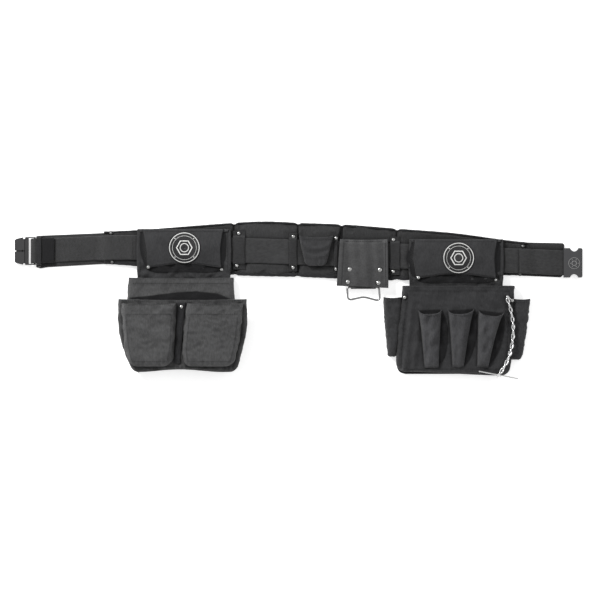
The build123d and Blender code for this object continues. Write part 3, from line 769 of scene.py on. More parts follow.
PAD_NODES = {
    1: ("pad_front_left", "foam_inserts_left", "pad_back_left"),
    3: ("pad_front_right", "foam_inserts_right", "pad_back_right"),
}
for number, body in enumerate(("belt_left", MIDDLE, MIDDLE, "belt", "belt"), 1):
    section = pad_section(number, PAD_SEAMS[number - 1], PAD_SEAMS[number])
    ride(section, body, "pad", "pad_fabric", *PAD_NODES.get(number, ()))
for side, x0, x1 in (("left", LEFT_TAIL_X + 0.6, FOLD_X), ("right", FOLD_X, RIGHT_TAIL_X - 0.6)):
    for place, edge, inward, width in (("upper", pad_top, -1, 4.6), ("lower", pad_bottom, 1, 8.0)):
        tape = binding(f"pad_binding_{place}_{side}", x0, x1, edge, inward, width)
        ride(tape, MIDDLE, "binding", "pad_fabric")
for side, x0, x1 in (("left", LEFT_TAIL_X + 4, FOLD_X), ("right", FOLD_X, RIGHT_TAIL_X - 4)):
    ride(pad_lining(f"pad_lining_{side}", x0, x1), MIDDLE, "lining", "pad_mesh")


# ------------------------------------------------------------------ webbing
ACROSS = np.array([-1.0, -0.97, -0.86, -0.6, -0.3, 0.0, 0.3, 0.6, 0.86, 0.97, 1.0])
FULLNESS = np.array([0.25, 0.85, 1.0, 0.96, 0.94, 0.93, 0.94, 0.96, 1.0, 0.85, 0.25])


def strap(name, path, seed, ripple=0.35, half=WEB_HALF, thickness=2.4, spacing=3.0):
    """Webbing along a path of (x, z), its centre line following the belt."""
    path = resample(path, max(4, int(path_length(path) / spacing)))
    ahead = np.gradient(path, axis=0)
    ahead /= np.linalg.norm(ahead, axis=1)[:, None]
    across = np.concatenate([ACROSS, ACROSS[::-1]])
    thick = np.concatenate([FULLNESS, -FULLNESS[::-1]]) * thickness / 2
    rows = []
    for (x, z), (run, rise) in zip(path, ahead):
        offset = thick + ripple * folds(x, across * half, seed, 60.0) * (1 - 0.5 * np.abs(across))
        rows.append(row(x - rise * offset, belt_y(x) + across * half, z + run * offset))
    return make_object(name, np.vstack(rows), rod_faces(len(rows), len(across)))


LEFT_TAIL = [
    (-300, WEB_MID), (-384, WEB_MID), (-404, TAIL_LOW), (-533.6, TAIL_LOW), (-536.0, 7.2),
    (-533.6, TAIL_HIGH), (-491, TAIL_HIGH),
]
RIGHT_TAIL = [
    (300, WEB_MID), (450, WEB_MID), (471, TAIL_LOW), (537.0, TAIL_LOW), (539.6, 7.2), (537.0, TAIL_HIGH),
    (475, TAIL_HIGH), (458, 16.6), (442, 16.9),
]
tail = strap("tail_webbing_left_piece", rounded_path(LEFT_TAIL, 7.0), 4, 0.2)
ride(tail, LEFT_END, "web", "webbing", "tail_webbing_left")
hook_path = rounded_path([(-513, 12.0), (-490.5, 12.0), (-489.6, 8.0)], 1.5)
hook = strap("tail_hook_tape", hook_path, 14, 0.15, half=24.4, thickness=0.9, spacing=1.0)
ride(hook, "left_tail", "lining", "webbing")
for name, path, seed, ripple, body, *nodes in (
    ("belt_webbing_left", [(-300, WEB_MID), (-119, WEB_MID)], 5, 0.35, "belt_left", "webbing_left"),
    ("belt_webbing_middle", [(-119, WEB_MID), (130, WEB_MID)], 6, 0.35, MIDDLE),
    ("belt_webbing_right", [(130, WEB_MID), (300, WEB_MID)], 7, 0.35, "belt", "webbing_right"),
    ("tail_webbing_right_piece", rounded_path(RIGHT_TAIL, 7.0), 8, 0.2, RIGHT_END, "tail_webbing_right"),
):
    ride(strap(name, path, seed, ripple), body, "web", "webbing", *nodes)


# ------------------------------------------------------------------ tail wings and loop pile
for side, body, xs, climb, seed in (
    ("left", LEFT_END, np.linspace(-526.2, -380.0, 60), (-402.0, -386.0), 21),
    ("right", RIGHT_END, np.linspace(449.0, 533.0, 40), (470.0, 455.0), 22),
):
    points = node_points(f"wing_{side}")
    top, bottom = edges(points, lambda x: (points[:, 1].max() + points[:, 1].min()) / 2)
    t = np.linspace(0, 1, 26)
    grid = []
    for x in xs:
        width = top(x) - bottom(x)
        y = bottom(x) + width * t
        z = 2.1 + 3.5 * smooth(*climb, x) + 0.9 * (1 - np.exp(-np.minimum(t, 1 - t) * width / 3.0))
        grid.append(row(x, y, z + 0.22 * folds(x, y, seed, 26.0)))
    ride(cloth(f"wing_{side}_piece", grid, 1.8), body, "pad", "pad_fabric", f"wing_{side}")

PILE_START = corners("tail_loop_pile")[0][0]
PILE_END = -332.0
pile_path = rounded_path([
    (PILE_START, TAIL_LOW + 1.4), (-404, TAIL_LOW + 1.4), (-384, WEB_MID + 1.2), (PILE_END, WEB_MID + 1.2),
], 7.0)
rng = np.random.default_rng(5)
t = np.linspace(-1, 1, 46)
grid = []
for x, z in resample(pile_path, int((PILE_END - PILE_START) / 1.1)):
    y = belt_y(x) + 24.0 * t + rng.uniform(-0.2, 0.2, len(t))
    height = z + np.minimum(1.0, (1 - np.abs(t)) * 12.0) * rng.uniform(0.1, 1.0, len(t))
    grid.append(row(x + rng.uniform(-0.3, 0.3, len(t)), y, height))
ride(cloth("tail_loop_pile_piece", grid, 0.8), LEFT_END, "pile", "loop_pile", "tail_loop_pile")


# ------------------------------------------------------------------ keepers
for node, body in (
    ("keeper_left", "belt_left"), ("keeper_centre", "belt_left"),
    ("keeper_pocket", "belt"), ("keeper_right", "belt"),
):
    # a short strap over the webbing, with its two feet on the pad
    low, high = corners(node)
    x_mid, mid = centre_of(node)
    width = high[0] - low[0]
    half = (high[1] - low[1]) / 2
    top = high[2]
    offsets = [
        (-half, 10.9), (-29.5, 10.9), (-26.6, top - 0.9), (0, top + 0.3),
        (26.6, top - 0.9), (29.5, 10.9), (half, 10.9),
    ]
    xs = np.linspace(low[0], high[0], max(5, int(width / 1.6)))
    grid = []
    for y, z in resample(rounded_path([(mid + dy, z) for dy, z in offsets], 5.0), 64):
        waist = 1.0 - 0.06 * math.cos((y - mid) / half * PI)
        z = z + 0.25 * arch((xs - low[0]) / width) + 0.15 * folds(xs, y, 31, 12.0)
        grid.append(row(x_mid + (xs - x_mid) * waist, y, z)[::-1])
    ride(cloth(f"{node}_piece", grid, 1.3), body, "keeper", "keeper_webbing", node)

low, high = corners("tail_keeper_left")
y0, y1, y_mid = low[1], high[1], centre_of("tail_keeper_left")[1]
loop = rounded_path([
    (y_mid, 3.6), (y0, 3.6), (y0, high[2]), (y_mid, high[2] + 0.3), (y1, high[2]), (y1, 3.6), (y_mid, 3.6),
], 3.0)
xs = np.linspace(low[0], high[0], 9)
ring = [row(xs, y, z + 0.1 * np.sin(xs)) for y, z in resample(loop, 90)[:-1]]
ring = cloth("tail_keeper_piece", ring, 1.2, close_rows=True)
ride(ring, "left_tail", "binding", "keeper_webbing", "tail_keeper_left")


# ------------------------------------------------------------------ pockets and bags
def drape(x, y, seed, size):
    """Soft ridges with sharp valleys, as in stiff cloth that has been folded."""
    return 1.2 * folds(x, y * 0.8, seed, size) - 0.9 * np.abs(folds(x + 11.0, y, seed + 7, size * 0.6)) + 0.3


def sides_at(rows, y):
    """Left and right x at a height y of an outline of (y, left, right) rows."""
    heights, left, right = np.array(rows, float).T
    return np.interp(-y, -heights, left), np.interp(-y, -heights, right)


def corner_inset(radius, above):
    """How far a rounded corner draws a side in, at a distance above the lower edge."""
    return radius - math.sqrt(max(0.0, radius ** 2 - max(0.0, radius - above) ** 2))


def pocket(name, rows, z0, depth, corner, plan_corner, wall=1.6, crown=2.0, hem=0.0, hem_rise=0.8, droop=0.0,
           wrinkle=0.8, seed=1, fold_size=38.0, lean=0.0, spacing=2.4, creases=None, gather=0.6, sag=None):
    """A sewn pocket: a sheet that rises from its side and bottom seams and stays open at the top.

    rows are (y, left x, right x) from the mouth down. depth is how far it stands off z0.
    """
    rows = np.array(rows, float)
    y_top, y_low = rows[0, 0], rows[-1, 0]
    # stations down the front, round the lower edge and down the end wall
    turn = min(corner, depth * 0.9)
    steps = max(6, int((y_top - y_low - turn) / spacing))
    stations = [(y, depth) for y in np.linspace(y_top, y_low + turn, steps)]
    for a in np.linspace(0.15, PI / 2, 7):
        stations.append((y_low + turn - turn * math.sin(a), depth - turn + turn * math.cos(a)))
    for h in np.linspace(depth - turn, 0.0, max(3, int((depth - turn) / spacing) + 1))[1:]:
        stations.append((y_low, h))
    count = max(16, int((np.mean(rows[:, 2] - rows[:, 1]) + 2 * depth) / spacing))
    grid = []
    for y, h in stations:
        left, right = sides_at(rows, y)
        inset = corner_inset(plan_corner, y - y_low)
        left, right = left + inset, right - inset
        section = [(left, 0.0), (left + lean * h, h), (right - lean * h, h), (right, 0.0)]
        section = resample(rounded_path(section, min(corner, h * 0.95 + 0.01) * 1.3, 8), count)
        grid.append(row(section[:, 0], y, section[:, 1]))
    x, y, h = np.moveaxis(np.array(grid), -1, 0)
    u = (x - x.min(axis=1, keepdims=True)) / np.maximum(1.0, np.ptp(x, axis=1)[:, None])
    v = (y_top - y) / (y_top - y_low)
    face = smooth(0.55, 0.98, h / depth)
    belly = arch(np.clip(u, 0, 1)) ** 0.8
    h = h + face * crown * (belly * arch(np.clip(0.12 + 0.8 * v, 0, 1)) - 0.35)
    h = h + face * wrinkle * drape(x, y, seed, fold_size)
    h = h + face * gather * np.sin(x * 0.5 + 2.0 * np.sin(x * 0.13 + seed)) * np.exp(-(y - y_low) / 13.0)
    if creases:
        h = h + face * creases(x, y)
    if sag:
        y = y + sag(x) * v ** 4
    side = (1 - face) * smooth(0.0, 0.25, h / depth)
    x = x + side * wrinkle * 0.8 * folds(y * 1.3, h * 2.0, seed + 50, fold_size * 0.8)
    if hem:
        h = h + (1 - smooth(hem - 0.8, hem + 0.8, y_top - y)) * hem_rise * smooth(0.05, 0.3, h / depth)
    y = y - droop * belly * face * (1 - smooth(0.0, 0.3, v))
    return cloth(name, row(x, y, z0 + np.maximum(h, 0.0)), wall)


def plan_rows(*sides):
    """(y, left, right) rows between a left and a right edge, given as lists of (x, y) from the top."""
    left, right = (rounded_path(side, 45.0, 10) for side in sides)
    return [
        (y, np.interp(-y, -left[:, 1], left[:, 0]), np.interp(-y, -right[:, 1], right[:, 0]))
        for y in np.linspace(left[0, 1], left[-1, 1], 24)
    ]


def shadow(name, outline, ground, lift, body):
    """A thin near-black sheet of painted shadow that follows the surface under it, inside an outline."""
    outline = closed_outline(np.array(outline, float), 80)
    centre = outline.mean(axis=0)
    probe = surface(ground)
    verts = []
    for t in np.linspace(0.04, 1.0, 10):
        for x, y in centre + (outline - centre) * t:
            verts.append((x, y, probe(x, y)[0] + lift))
    faces = grid_faces(10, 80, close_cols=True) + [tuple(range(80))]
    ahead = np.roll(outline, -1, axis=0)
    if (outline[:, 0] * ahead[:, 1] - ahead[:, 0] * outline[:, 1]).sum() < 0:
        faces = [f[::-1] for f in faces]
    ride(thicken(make_object(name, verts, faces), 0.5), body, "lining", f"{body.split('_')[0]}_bag_fabric")


def hem_lines(rows, inset, *offsets):
    """Lines across a pocket at some distances below its mouth."""
    lines = []
    for offset in offsets:
        y = rows[0][0] - offset
        left, right = sides_at(rows, y)
        lines.append([(x, y) for x in np.linspace(left + inset, right - inset, 20)])
    return lines


def side_line(rows, inset, top_gap, bottom_gap):
    """A line down each side of a pocket and along its lower edge, inset from the seams."""
    ys = np.linspace(rows[0][0] - top_gap, rows[-1][0] + bottom_gap, 24)
    left, right = sides_at(rows, ys)
    return [[*zip(left + inset, ys), *zip(right[::-1] - inset, ys[::-1])]]


def back_sheet(side, rows, seed):
    """A bag's back: flat on the ground, climbing at its throat to the hinge line."""
    hinge_y = HINGE_Y[side]
    low, high = corners(f"{side}_tunnel")
    y_low = rows[-1][0]
    path = rounded_path([
        (y_low, 1.6), (hinge_y - 16, 1.6), (hinge_y - 2.2, 11.4), (hinge_y + 9.0, 11.8),
    ], 10.0)
    grid = []
    for y, z in resample(path, 70):
        left, right = sides_at(rows, min(max(y, y_low), rows[0][0]))
        inset = corner_inset(16.0, y - y_low)
        neck = smooth(hinge_y - 18, hinge_y - 5, y)
        x0 = left + inset + 1.5 + neck * (low[0] + 5.0 - left - inset)
        x1 = right - inset - 1.5 - neck * (right - inset - high[0] + 5.0)
        xs = np.linspace(x0, x1, 60)
        z = z + (0.15 + 0.9 * smooth(hinge_y - 16, hinge_y - 4, y)) * folds(xs, y, seed, 30.0)
        grid.append(row(xs, y, np.maximum(z, 1.75)))
    sheet = cloth(f"{side}_bag_back_piece", grid, 1.5, offset=0.0)
    ride(sheet, (f"{side}_bag", f"{side}_pouch"), "tunnel", f"{side}_bag_fabric", f"{side}_bag_back")


# ------------------------------------------------------------------ left bag
IN_LEFT = ("left_bag", "left", "left_bag_fabric")
(x0, y0, _), (x1, y1, _) = corners("left_main_front")
LEFT_ROWS = [(y1, x0, x1 - 0.4), (y1 - 45, x0 - 3.0, x1 + 2.0), (y0, x0 + 4.0, x1 - 2.4)]
left_main = pocket(
    "left_main_pocket_shell", LEFT_ROWS, 2.0, 23.6, 9.0, 16.0, wall=2.0, crown=2.0, hem=14.0,
    hem_rise=1.0, seed=41, droop=1.5, wrinkle=1.2)
ride(left_main, *IN_LEFT, "left_main_front", "left_main_gusset")
back_sheet("left", LEFT_ROWS, 42)
# outline of the painted shadow in the gaping mouth of the second pocket
mouth = [
    (-352, 0), (-338, 5), (-296, 9), (-250, 15), (-205, 18), (-160, 13), (-112, 1), (-112, -6), (-352, -6),
]
mouth = [(min(max(x, x0 + 2), x1 - 3), y) for x, y in mouth]

(x0, y0, _), (x1, y1, _) = corners("left_second_pocket")
SECOND_ROWS = plan_rows(
    [(x0 + 1.4, y1), (x0, -42.0), (x0 + 5.0, -78.0), (x0 + 16.4, -112.0), (x0 + 30.0, y0)],
    [(x1 - 2.0, y1), (x1, -50.0), (x1 - 5.0, -78.0), (x1 - 13.6, -112.0), (x1 - 22.0, y0)],
)
# its lower edge hangs lower under each front pocket than between them
second = pocket(
    "left_second_pocket_shell", SECOND_ROWS, 25.6, 12.6, 6.0, 12.0, wall=2.0, crown=1.2, hem=7.0,
    hem_rise=0.6, seed=43, wrinkle=1.5, fold_size=36.0, gather=1.4, droop=2.0,
    sag=lambda x: 2.6 * np.cos((x + 236.0) / 88.0 * PI))
ride(second, *IN_LEFT, "left_second_pocket")

TO_SEW = [
    ("left_main_stitches", hem_lines(LEFT_ROWS, 9.0, 2.4, 11.8), left_main),
    (
        "left_second_stitches",
        hem_lines(SECOND_ROWS, 6.0, 2.2, 5.4) + side_line(SECOND_ROWS, 8.0, 9.0, 8.0), second,
    ),
]
for seed, (node, start, left_edge, right_edge) in enumerate((
    (
        "left_front_pocket_a", corners("left_front_pocket_a")[0][0],
        [(-2.0, 0.0), (0.0, -40.0), (3.0, -80.0), (8.0, -106.0), (15.0, -126.0)],
        [(0.0, 0.0), (-2.0, -50.0), (-4.0, -95.0), (-12.0, -126.0)],
    ), (
        "left_front_pocket_b", -222.4,
        [(0.0, 0.0), (-6.0, -50.0), (-10.0, -95.0), (-6.0, -126.0)],
        [(1.0, 0.0), (-3.0, -50.0), (-9.0, -90.0), (-19.0, -126.0)],
    ),
), 60):
    end, top, _ = corners(node)[1]
    rows = plan_rows(
        [(start + x, top + y) for x, y in left_edge], [(end + x, top + y) for x, y in right_edge])
    shell = pocket(
        f"{node}_shell", rows, 37.6, 18.4, 8.0, 14.0, crown=3.4, hem=24.0, hem_rise=0.9, seed=seed,
        wrinkle=2.3, fold_size=40.0, droop=3.0, lean=0.2, gather=1.4)
    ride(shell, *IN_LEFT, node)
    lines = hem_lines(rows, 9.0, 3.0, 22.0) + side_line(rows, 9.0, 27.0, 10.0)
    TO_SEW.append((f"{node}_stitches", lines, shell))

(x0, y0, _), (x1, y1, _) = corners("left_divider_strap")
divider = pocket(
    "left_divider_strap_piece", plan_rows([(x0 + 7.4, y1), (x0, y0)], [(x1, y1), (x1 - 11.0, y0)]),
    38.8, 2.4, 1.6, 2.0, wall=1.4, crown=0.4, seed=66, wrinkle=0.25, fold_size=20.0)
ride(divider, "left_bag", "binding", "left_bag_fabric", "left_divider_strap")
# near-black sheet of painted shadow where the second pocket's mouth gapes
shadow("left_second_mouth_painted_shadow", mouth, left_main, 0.7, "left_bag")
for name, lines, shell in TO_SEW:
    sewn(name, lines, surface(shell), "left_bag", "left_bag_fabric", "thread_left")
spots = rivet_spots("left_divider_rivet")
rivets("left_divider_rivet_piece", spots, "left_bag", "left_divider_rivet", raise_by=1.6)
washers("left_divider_washer", spots, "left_bag", raise_by=1.6)


# ------------------------------------------------------------------ tunnels with their badges
def tunnel_back(side, low, high, seed):
    """Flat leaf behind the webbing, rolled forward at its top."""
    top = high[1]
    path = rounded_path([
        (low[1] + 1.5, 11.2), (top - 4.0, 11.2), (top - 0.6, 12.5), (top - 1.4, 16.5), (top - 6.0, 19.0),
    ], 4.0)
    grid = []
    for y, z in resample(path, 60):
        bow = 2.0 * math.sin(PI * (y - low[1]) / (top - low[1]))
        inset = 3.0 - bow + 5.0 * smooth(14.0, 19.0, z)
        xs = np.linspace(low[0] + inset, high[0] - inset, 64)
        grid.append(row(xs, y, z + 0.2 * folds(xs, y, seed, 40.0)))
    return cloth(f"{side}_tunnel_back", grid, 1.4, offset=0.0)


def tunnel_cover(side, low, high, seed):
    """The panel in front of the webbing, which the bag hangs from: bound at its sides, creased below."""
    path = rounded_path([
        (high[1] - 0.5, 14.2), (high[1] - 9.0, 17.2), (low[1] + 27.0, 17.2),
        (low[1] + 12.0, 14.8), (low[1] - 8.0, 13.9),
    ], 9.0)
    grid = []
    for y, z in resample(path, 60):
        bow = 1.6 * math.sin(PI * (y - low[1]) / (high[1] - low[1]))
        xs = np.linspace(low[0] + 2.5 - bow, high[0] - 2.5 + bow, 90)
        slack = smooth(low[1] + 34.0, low[1] + 16.0, y) * 1.9
        creases = np.sin(xs * 0.13 + y * 0.20 + 1.6 * np.sin(xs * 0.04 + seed))
        creases = creases + 0.8 * folds(xs, y * 1.5, seed, 24.0)
        bound = 0.9 * (1 - smooth(4.0, 4.8, np.minimum(xs - xs[0], xs[-1] - xs)))
        grid.append(row(xs, y, np.maximum(z + bound + (0.15 + 1.1 * slack) * creases, 12.6)))
    return cloth(f"{side}_tunnel_cover", grid, 1.1)


def tunnel_front(low, high, flap, insets, seed):
    """Points of the bulging leaf in front of the cover, open at its sides."""
    top = high[1] - 0.5
    u = np.linspace(0, 1, 84)
    grid = []
    for v in np.arange(64) / 63:
        y = top + (flap - 6.0 - top) * v + 8.0 * arch(u) ** 1.5 * v ** 3
        left, right = (np.interp(v, [0, 0.5, 1], inset) + 3.0 * arch(v) for inset in insets)
        x = low[0] + left + (high[0] - low[0] - left - right) * u
        rise = 8.0 * arch(min(1.0, 0.07 + v * 0.93)) ** 0.62
        z = 17.6 + rise * (0.86 + 0.14 * arch(u)) + 1.3 * folds(x, y, seed, 46.0) * arch(v) ** 0.5
        z = z - 1.2 * (bell(u, 0.04, 0.10) + bell(u, 0.96, 0.10)) * v ** 4 + 0.6 * smooth(0.90, 0.93, v)
        grid.append(row(x, y, np.maximum(z, 17.4)))
    return np.array(grid)


def tunnel_side(name, edge, outwards, width):
    """Near-black sheet of painted shade that closes one side of the bulging leaf, seen as a dark crescent."""
    foot = 17.8
    t = np.linspace(0, 1, 10)
    grid = []
    for k, (x, y, z) in enumerate(edge):
        open_by = width * arch(k / (len(edge) - 1)) ** 0.7
        xs = x + outwards * (open_by * (1 - t) - 1.5 * t + 0.8)
        grid.append(row(xs, y, foot + (max(z - 1.0, foot) - foot) * t ** 2.2)[::-outwards])
    return cloth(name, grid, 0.5)


def disc(centre, radius, probe, lift, inner=0.0, rings=10, sides=72):
    """A disc or ring pressed onto a curved surface, as a closed flat body."""
    verts = []
    for r in np.linspace(max(inner, 0.05), radius, rings):
        for a in ring_angles(sides):
            x, y = centre[0] + r * math.cos(a), centre[1] + r * math.sin(a)
            verts.append((x, y, probe(x, y)[0] + lift))
    return np.array(verts), grid_faces(rings, sides, close_cols=True)


def outline_band(points, half, probe, lift):
    """A flat band of some width along a closed outline, on a surface."""
    points = closed_outline(points, 96)
    away = points - points.mean(axis=0)
    away /= np.linalg.norm(away, axis=1)[:, None]
    verts = [(x, y, probe(x, y)[0] + lift) for way in (-half, half) for x, y in points + away * way]
    return np.array(verts), grid_faces(2, 96, close_cols=True)


def around(centre, radius, count, start=0.0):
    """Points evenly spaced on a circle."""
    return [(centre[0] + radius * math.cos(start + a), centre[1] + radius * math.sin(start + a))
            for a in ring_angles(count)]


def badge(side, node, body, probe):
    """A round rubber badge: dark disc, pale rings and a plain hexagon nut in the middle."""
    centre = centre_of(node)
    base = thicken(joined(f"{side}_badge_disc", [disc(centre, 31.6, probe, 1.3)]), 1.3)
    ride(base, body, "rubber", "badge_rubber", node)
    rings = ((30.4, 28.8), (24.2, 23.5), (9.2, 7.4))
    marks = [disc(centre, outer, probe, 2.0, inner, 3) for outer, inner in rings]
    marks.append(outline_band(np.array(around(centre, 15.5, 6)), 1.1, probe, 2.0))
    marks += [disc(spot, 1.1, probe, 2.0, rings=3, sides=16) for spot in around(centre, 26.4, 4, PI / 4)]
    ride(thicken(joined(f"{side}_badge_relief", marks), 0.8), body, "badge_light", "badge_rubber")


for seed, side, flap, insets in (
    (70, "left", 71.0, ((13.5, 18.0, 23.0), (17.0, 20.0, 21.0))),
    (71, "right", 50.0, ((13.0, 6.0, 16.0), (14.0, 17.0, 16.0))),
):
    node, body, slot = f"{side}_tunnel", f"{side}_pouch", f"{side}_bag_fabric"
    low, high = corners(node)
    ride(tunnel_back(side, low, high, seed), body, "tunnel", slot, node)
    cover = ride(tunnel_cover(side, low, high, seed + 2), (f"{side}_bag", body), "cover", slot)
    grid = tunnel_front(low, high, flap, insets, seed + 4)
    front = ride(cloth(f"{node}_front", grid, 1.3), body, "tunnel", slot)
    # near-black sheets of painted shade in the open sides of the leaf
    ride(tunnel_side(f"{node}_side_painted_shade_a", grid[:, 0], -1, 13.0), body, "lining", slot)
    ride(tunnel_side(f"{node}_side_painted_shade_b", grid[:, -1], 1, 11.0), body, "lining", slot)
    lip = grid[-1, :, :2]
    under = [(x, y - 17.0 * arch(k / 83) ** 0.4) for k, (x, y) in enumerate(lip)]
    # near-black sheet of painted shadow on the cover, under the leaf's lower edge
    shadow(f"{node}_throat_painted_shadow", [*(lip + (0.0, 2.0)), *under[::-1]], cover, 0.7, body)
    probe = surface(front, cover)
    ys = np.linspace(low[1] + 6.0, high[1] - 6.0, 30)
    sewn(f"{node}_stitches", [
        lip[3:-3] + (0.0, 3.5), [(low[0] + 8.0, y) for y in ys], [(high[0] - 8.0, y) for y in ys],
        [(x, high[1] - 5.0) for x in np.linspace(low[0] + 18, high[0] - 20, 40)],
    ], probe, body, slot)
    spots = stood(rivet_spots(f"{node}_rivets"), probe)
    rivets(f"{node}_rivet_heads", spots, body, f"{node}_rivets", raise_by=0.15)
    washers(f"{node}_washers", spots, body)
    badge(side, f"{side}_badge", body, probe)


# ------------------------------------------------------------------ right bag
IN_RIGHT = ("right_bag", "right", "right_bag_fabric")
(x0, y0, _), (x1, y1, _) = corners("right_main_front")
RIGHT_ROWS = plan_rows(
    [(x0 + 13.0, y1), (x0 + 12.0, 0.0), (x0 + 4.0, -50.0), (x0, -110.0), (x0 + 1.0, y0)],
    [(x1, y1), (x1 - 1.0, 0.0), (x1 - 5.0, -90.0), (x1 - 9.0, y0)],
)


def right_creases(x, y):
    """Folds that run down from the rivets, left of the sleeves and at the right edge."""
    left = 224.0 + (y + 40.0) * 0.12
    return smooth(10.0, -30.0, y) * (
        3.2 * bell(x, left, 5.0) - 2.2 * bell(x, left - 9.0, 4.0) + 2.8 * bell(x, left + 17.0, 5.0)
        - 2.0 * bell(x, 418.0, 5.0)
    )


# its lower edge drops towards its right corner
right_main = pocket(
    "right_main_pocket_shell", RIGHT_ROWS, 2.0, 23.4, 9.0, 18.0, wall=2.0, crown=1.6, hem=8.0,
    hem_rise=0.5, seed=81, wrinkle=1.5, fold_size=42.0, creases=right_creases, gather=0.5,
    sag=lambda x: 5.0 - 8.0 * smooth(200.0, 420.0, x))
ride(right_main, *IN_RIGHT, "right_main_front", "right_main_gusset")
back_sheet("right", RIGHT_ROWS, 82)
on_right = surface(right_main)


def sleeve(node, mouth, end, slant, seed):
    """A tapered tool sleeve: wide oval mouth whose lip hangs forward, closed lower end."""
    low, high = corners(node)
    top = high[1] + 1.0
    angles = np.linspace(0, PI, 40)
    c, s = np.cos(angles), np.sin(angles)
    grid = []
    for v in np.arange(52) / 51:
        left, right = (m + (e - m) * v ** 0.75 for m, e in zip(mouth, end))
        x = (left + right) / 2 - (right - left) / 2 * np.sign(c) * np.abs(c) ** 0.85
        y = top + (low[1] - top) * v - (1 - v) ** 4 * 8.0 * s
        y = y + slant * (x - left) / (right - left) * (1 - v) ** 2
        z = 25.7 + (18.0 - 8.0 * v) * (1 - smooth(0.93, 1.0, v) * 0.85) * np.abs(s) ** 0.8
        ridges = 1.9 * np.sin(x * 0.30 + 2.0 * v + seed) * (0.4 + v) * (1 - 0.6 * v)
        z = z + s ** 0.7 * (ridges + 2.4 * folds(x, y * 0.5, seed, 20.0)) * 1.1
        grid.append(row(x, y, z + (1 - smooth(0.045, 0.06, v)) * 0.7 * s))
    return cloth(f"{node}_piece", grid, 1.6)


for seed, node, mouth, end, slant in (
    (90, "sleeve_left", (239.0, 286.0), (252.0, 280.0), 2.0),
    (91, "sleeve_middle", (298.6, 351.0), (308.0, 330.0), 3.0),
    (92, "sleeve_right", (360.0, 410.5), (357.0, 379.0), -5.0),
):
    piece = ride(sleeve(node, mouth, end, slant, seed), "right_bag", "sleeve", "right_bag_fabric", node)
    rim_y = corners(node)[1][1]
    left, right = mouth
    taper = end[1] - right
    xs = np.linspace(left + 2, right - 2, 12)
    rim = [(x, rim_y + 1.5 + slant * (x - left) / (right - left)) for x in xs]
    dip = [(right - 3, rim_y - 8.0), ((left + right) / 2, rim_y - 16.0), (left + 3, rim_y - 8.0)]
    # near-black sheet of painted shadow inside the sleeve's mouth
    shadow(f"{node}_lining", rim + dip, right_main, 0.8, "right_bag")
    # outline of a band of painted shadow down the right side of the sleeve, drawn as a near-black sheet
    ts = np.linspace(0, 1, 16)
    outer = [(right - 2 + 18 * arch(t) ** 0.5 + taper * t ** 0.75, rim_y - 1 - 110 * t) for t in ts]
    inner = [(x - 22.0 * arch(t) ** 0.6 - 1.0, y) for t, (x, y) in zip(ts, outer)]
    shadow(f"{node}_crease", outer + inner[::-1], right_main, 0.8, "right_bag")
    xs = np.linspace(left + 6, right - 6, 24)
    ts = np.linspace(0, 1, 20)
    sewn(f"{node}_stitches", [
        [(x, rim_y - 3.5 - 6.0 * arch((x - left) / (right - left))) for x in xs],
        [(left - 3.0 + (end[0] - left) * t ** 0.75, -22.0 - 110.0 * t) for t in ts],
        [(right + 3.0 + taper * t ** 0.75, -22.0 - 110.0 * t) for t in ts],
    ], surface(piece, right_main), "right_bag", "right_bag_fabric")

for seed, node, left_edge, right_edge in (
    (
        96, "side_pocket_left", [(170.2, 6.0), (172.0, -40.0), (179.4, -113.0)],
        [(206.4, 6.0), (205.0, -50.0), (197.0, -113.0)],
    ), (
        97, "side_pocket_right", [(430.0, 3.0), (428.0, -60.0), (424.0, -119.0)],
        [(464.0, 3.0), (455.0, -76.0), (446.0, -119.0)],
    ),
):
    rows = plan_rows(left_edge, right_edge)
    shell = pocket(
        f"{node}_shell", rows, 2.2, 20.0, 7.0, 5.0, crown=1.5, hem=8.0, seed=seed, wrinkle=1.6,
        fold_size=30.0, droop=1.5)
    ride(shell, *IN_RIGHT, node)
    sewn(f"{node}_stitches", hem_lines(rows, 5.0, 2.0, 7.0), surface(shell), "right_bag", "right_bag_fabric")
lines = hem_lines(RIGHT_ROWS, 8.0, 2.4, 10.6) + side_line(RIGHT_ROWS, 10.0, 14.0, 10.0)
sewn("right_main_stitches", lines, on_right, "right_bag", "right_bag_fabric")
spots = stood(rivet_spots("right_bag_rivets"), on_right, 25.0)
rivets("right_bag_rivet_heads", spots, "right_bag", "right_bag_rivets", raise_by=0.1)
washers("right_bag_washers", spots, "right_bag")


# ------------------------------------------------------------------ belt pocket
(x0, y0, _), (x1, y1, _) = corners("belt_pocket")
rows = plan_rows(
    [(x0, y1), (x0 + 6.0, y1 - 30.0), (x0 + 13.0, y0)], [(x1, y1), (x1 - 7.0, y1 - 30.0), (x1 - 14.0, y0)])


def u_crease(x, y):
    """The slack cloth of the small pocket hangs in U-shaped creases."""
    drop = y - (y0 + 18.0) - ((x - (x0 + x1) / 2) / 9.0) ** 2
    return 1.9 * bell(drop, 0.0, 4.0) - 1.5 * bell(drop, 8.0, 4.0) + 1.6 * bell(drop, 17.0, 4.0)


small = pocket(
    "belt_pocket_shell", rows, 14.6, 12.0, 6.0, 10.0, crown=2.0, hem=7.0, seed=101, wrinkle=0.5, droop=3.0,
    creases=u_crease, spacing=1.8, gather=0.9)
ride(small, "belt", "belt_pocket", "belt_pocket_fabric", "belt_pocket")
sewn("belt_pocket_stitches", hem_lines(rows, 7.0, 2.0, 6.0), surface(small), "belt", "belt_pocket_fabric")


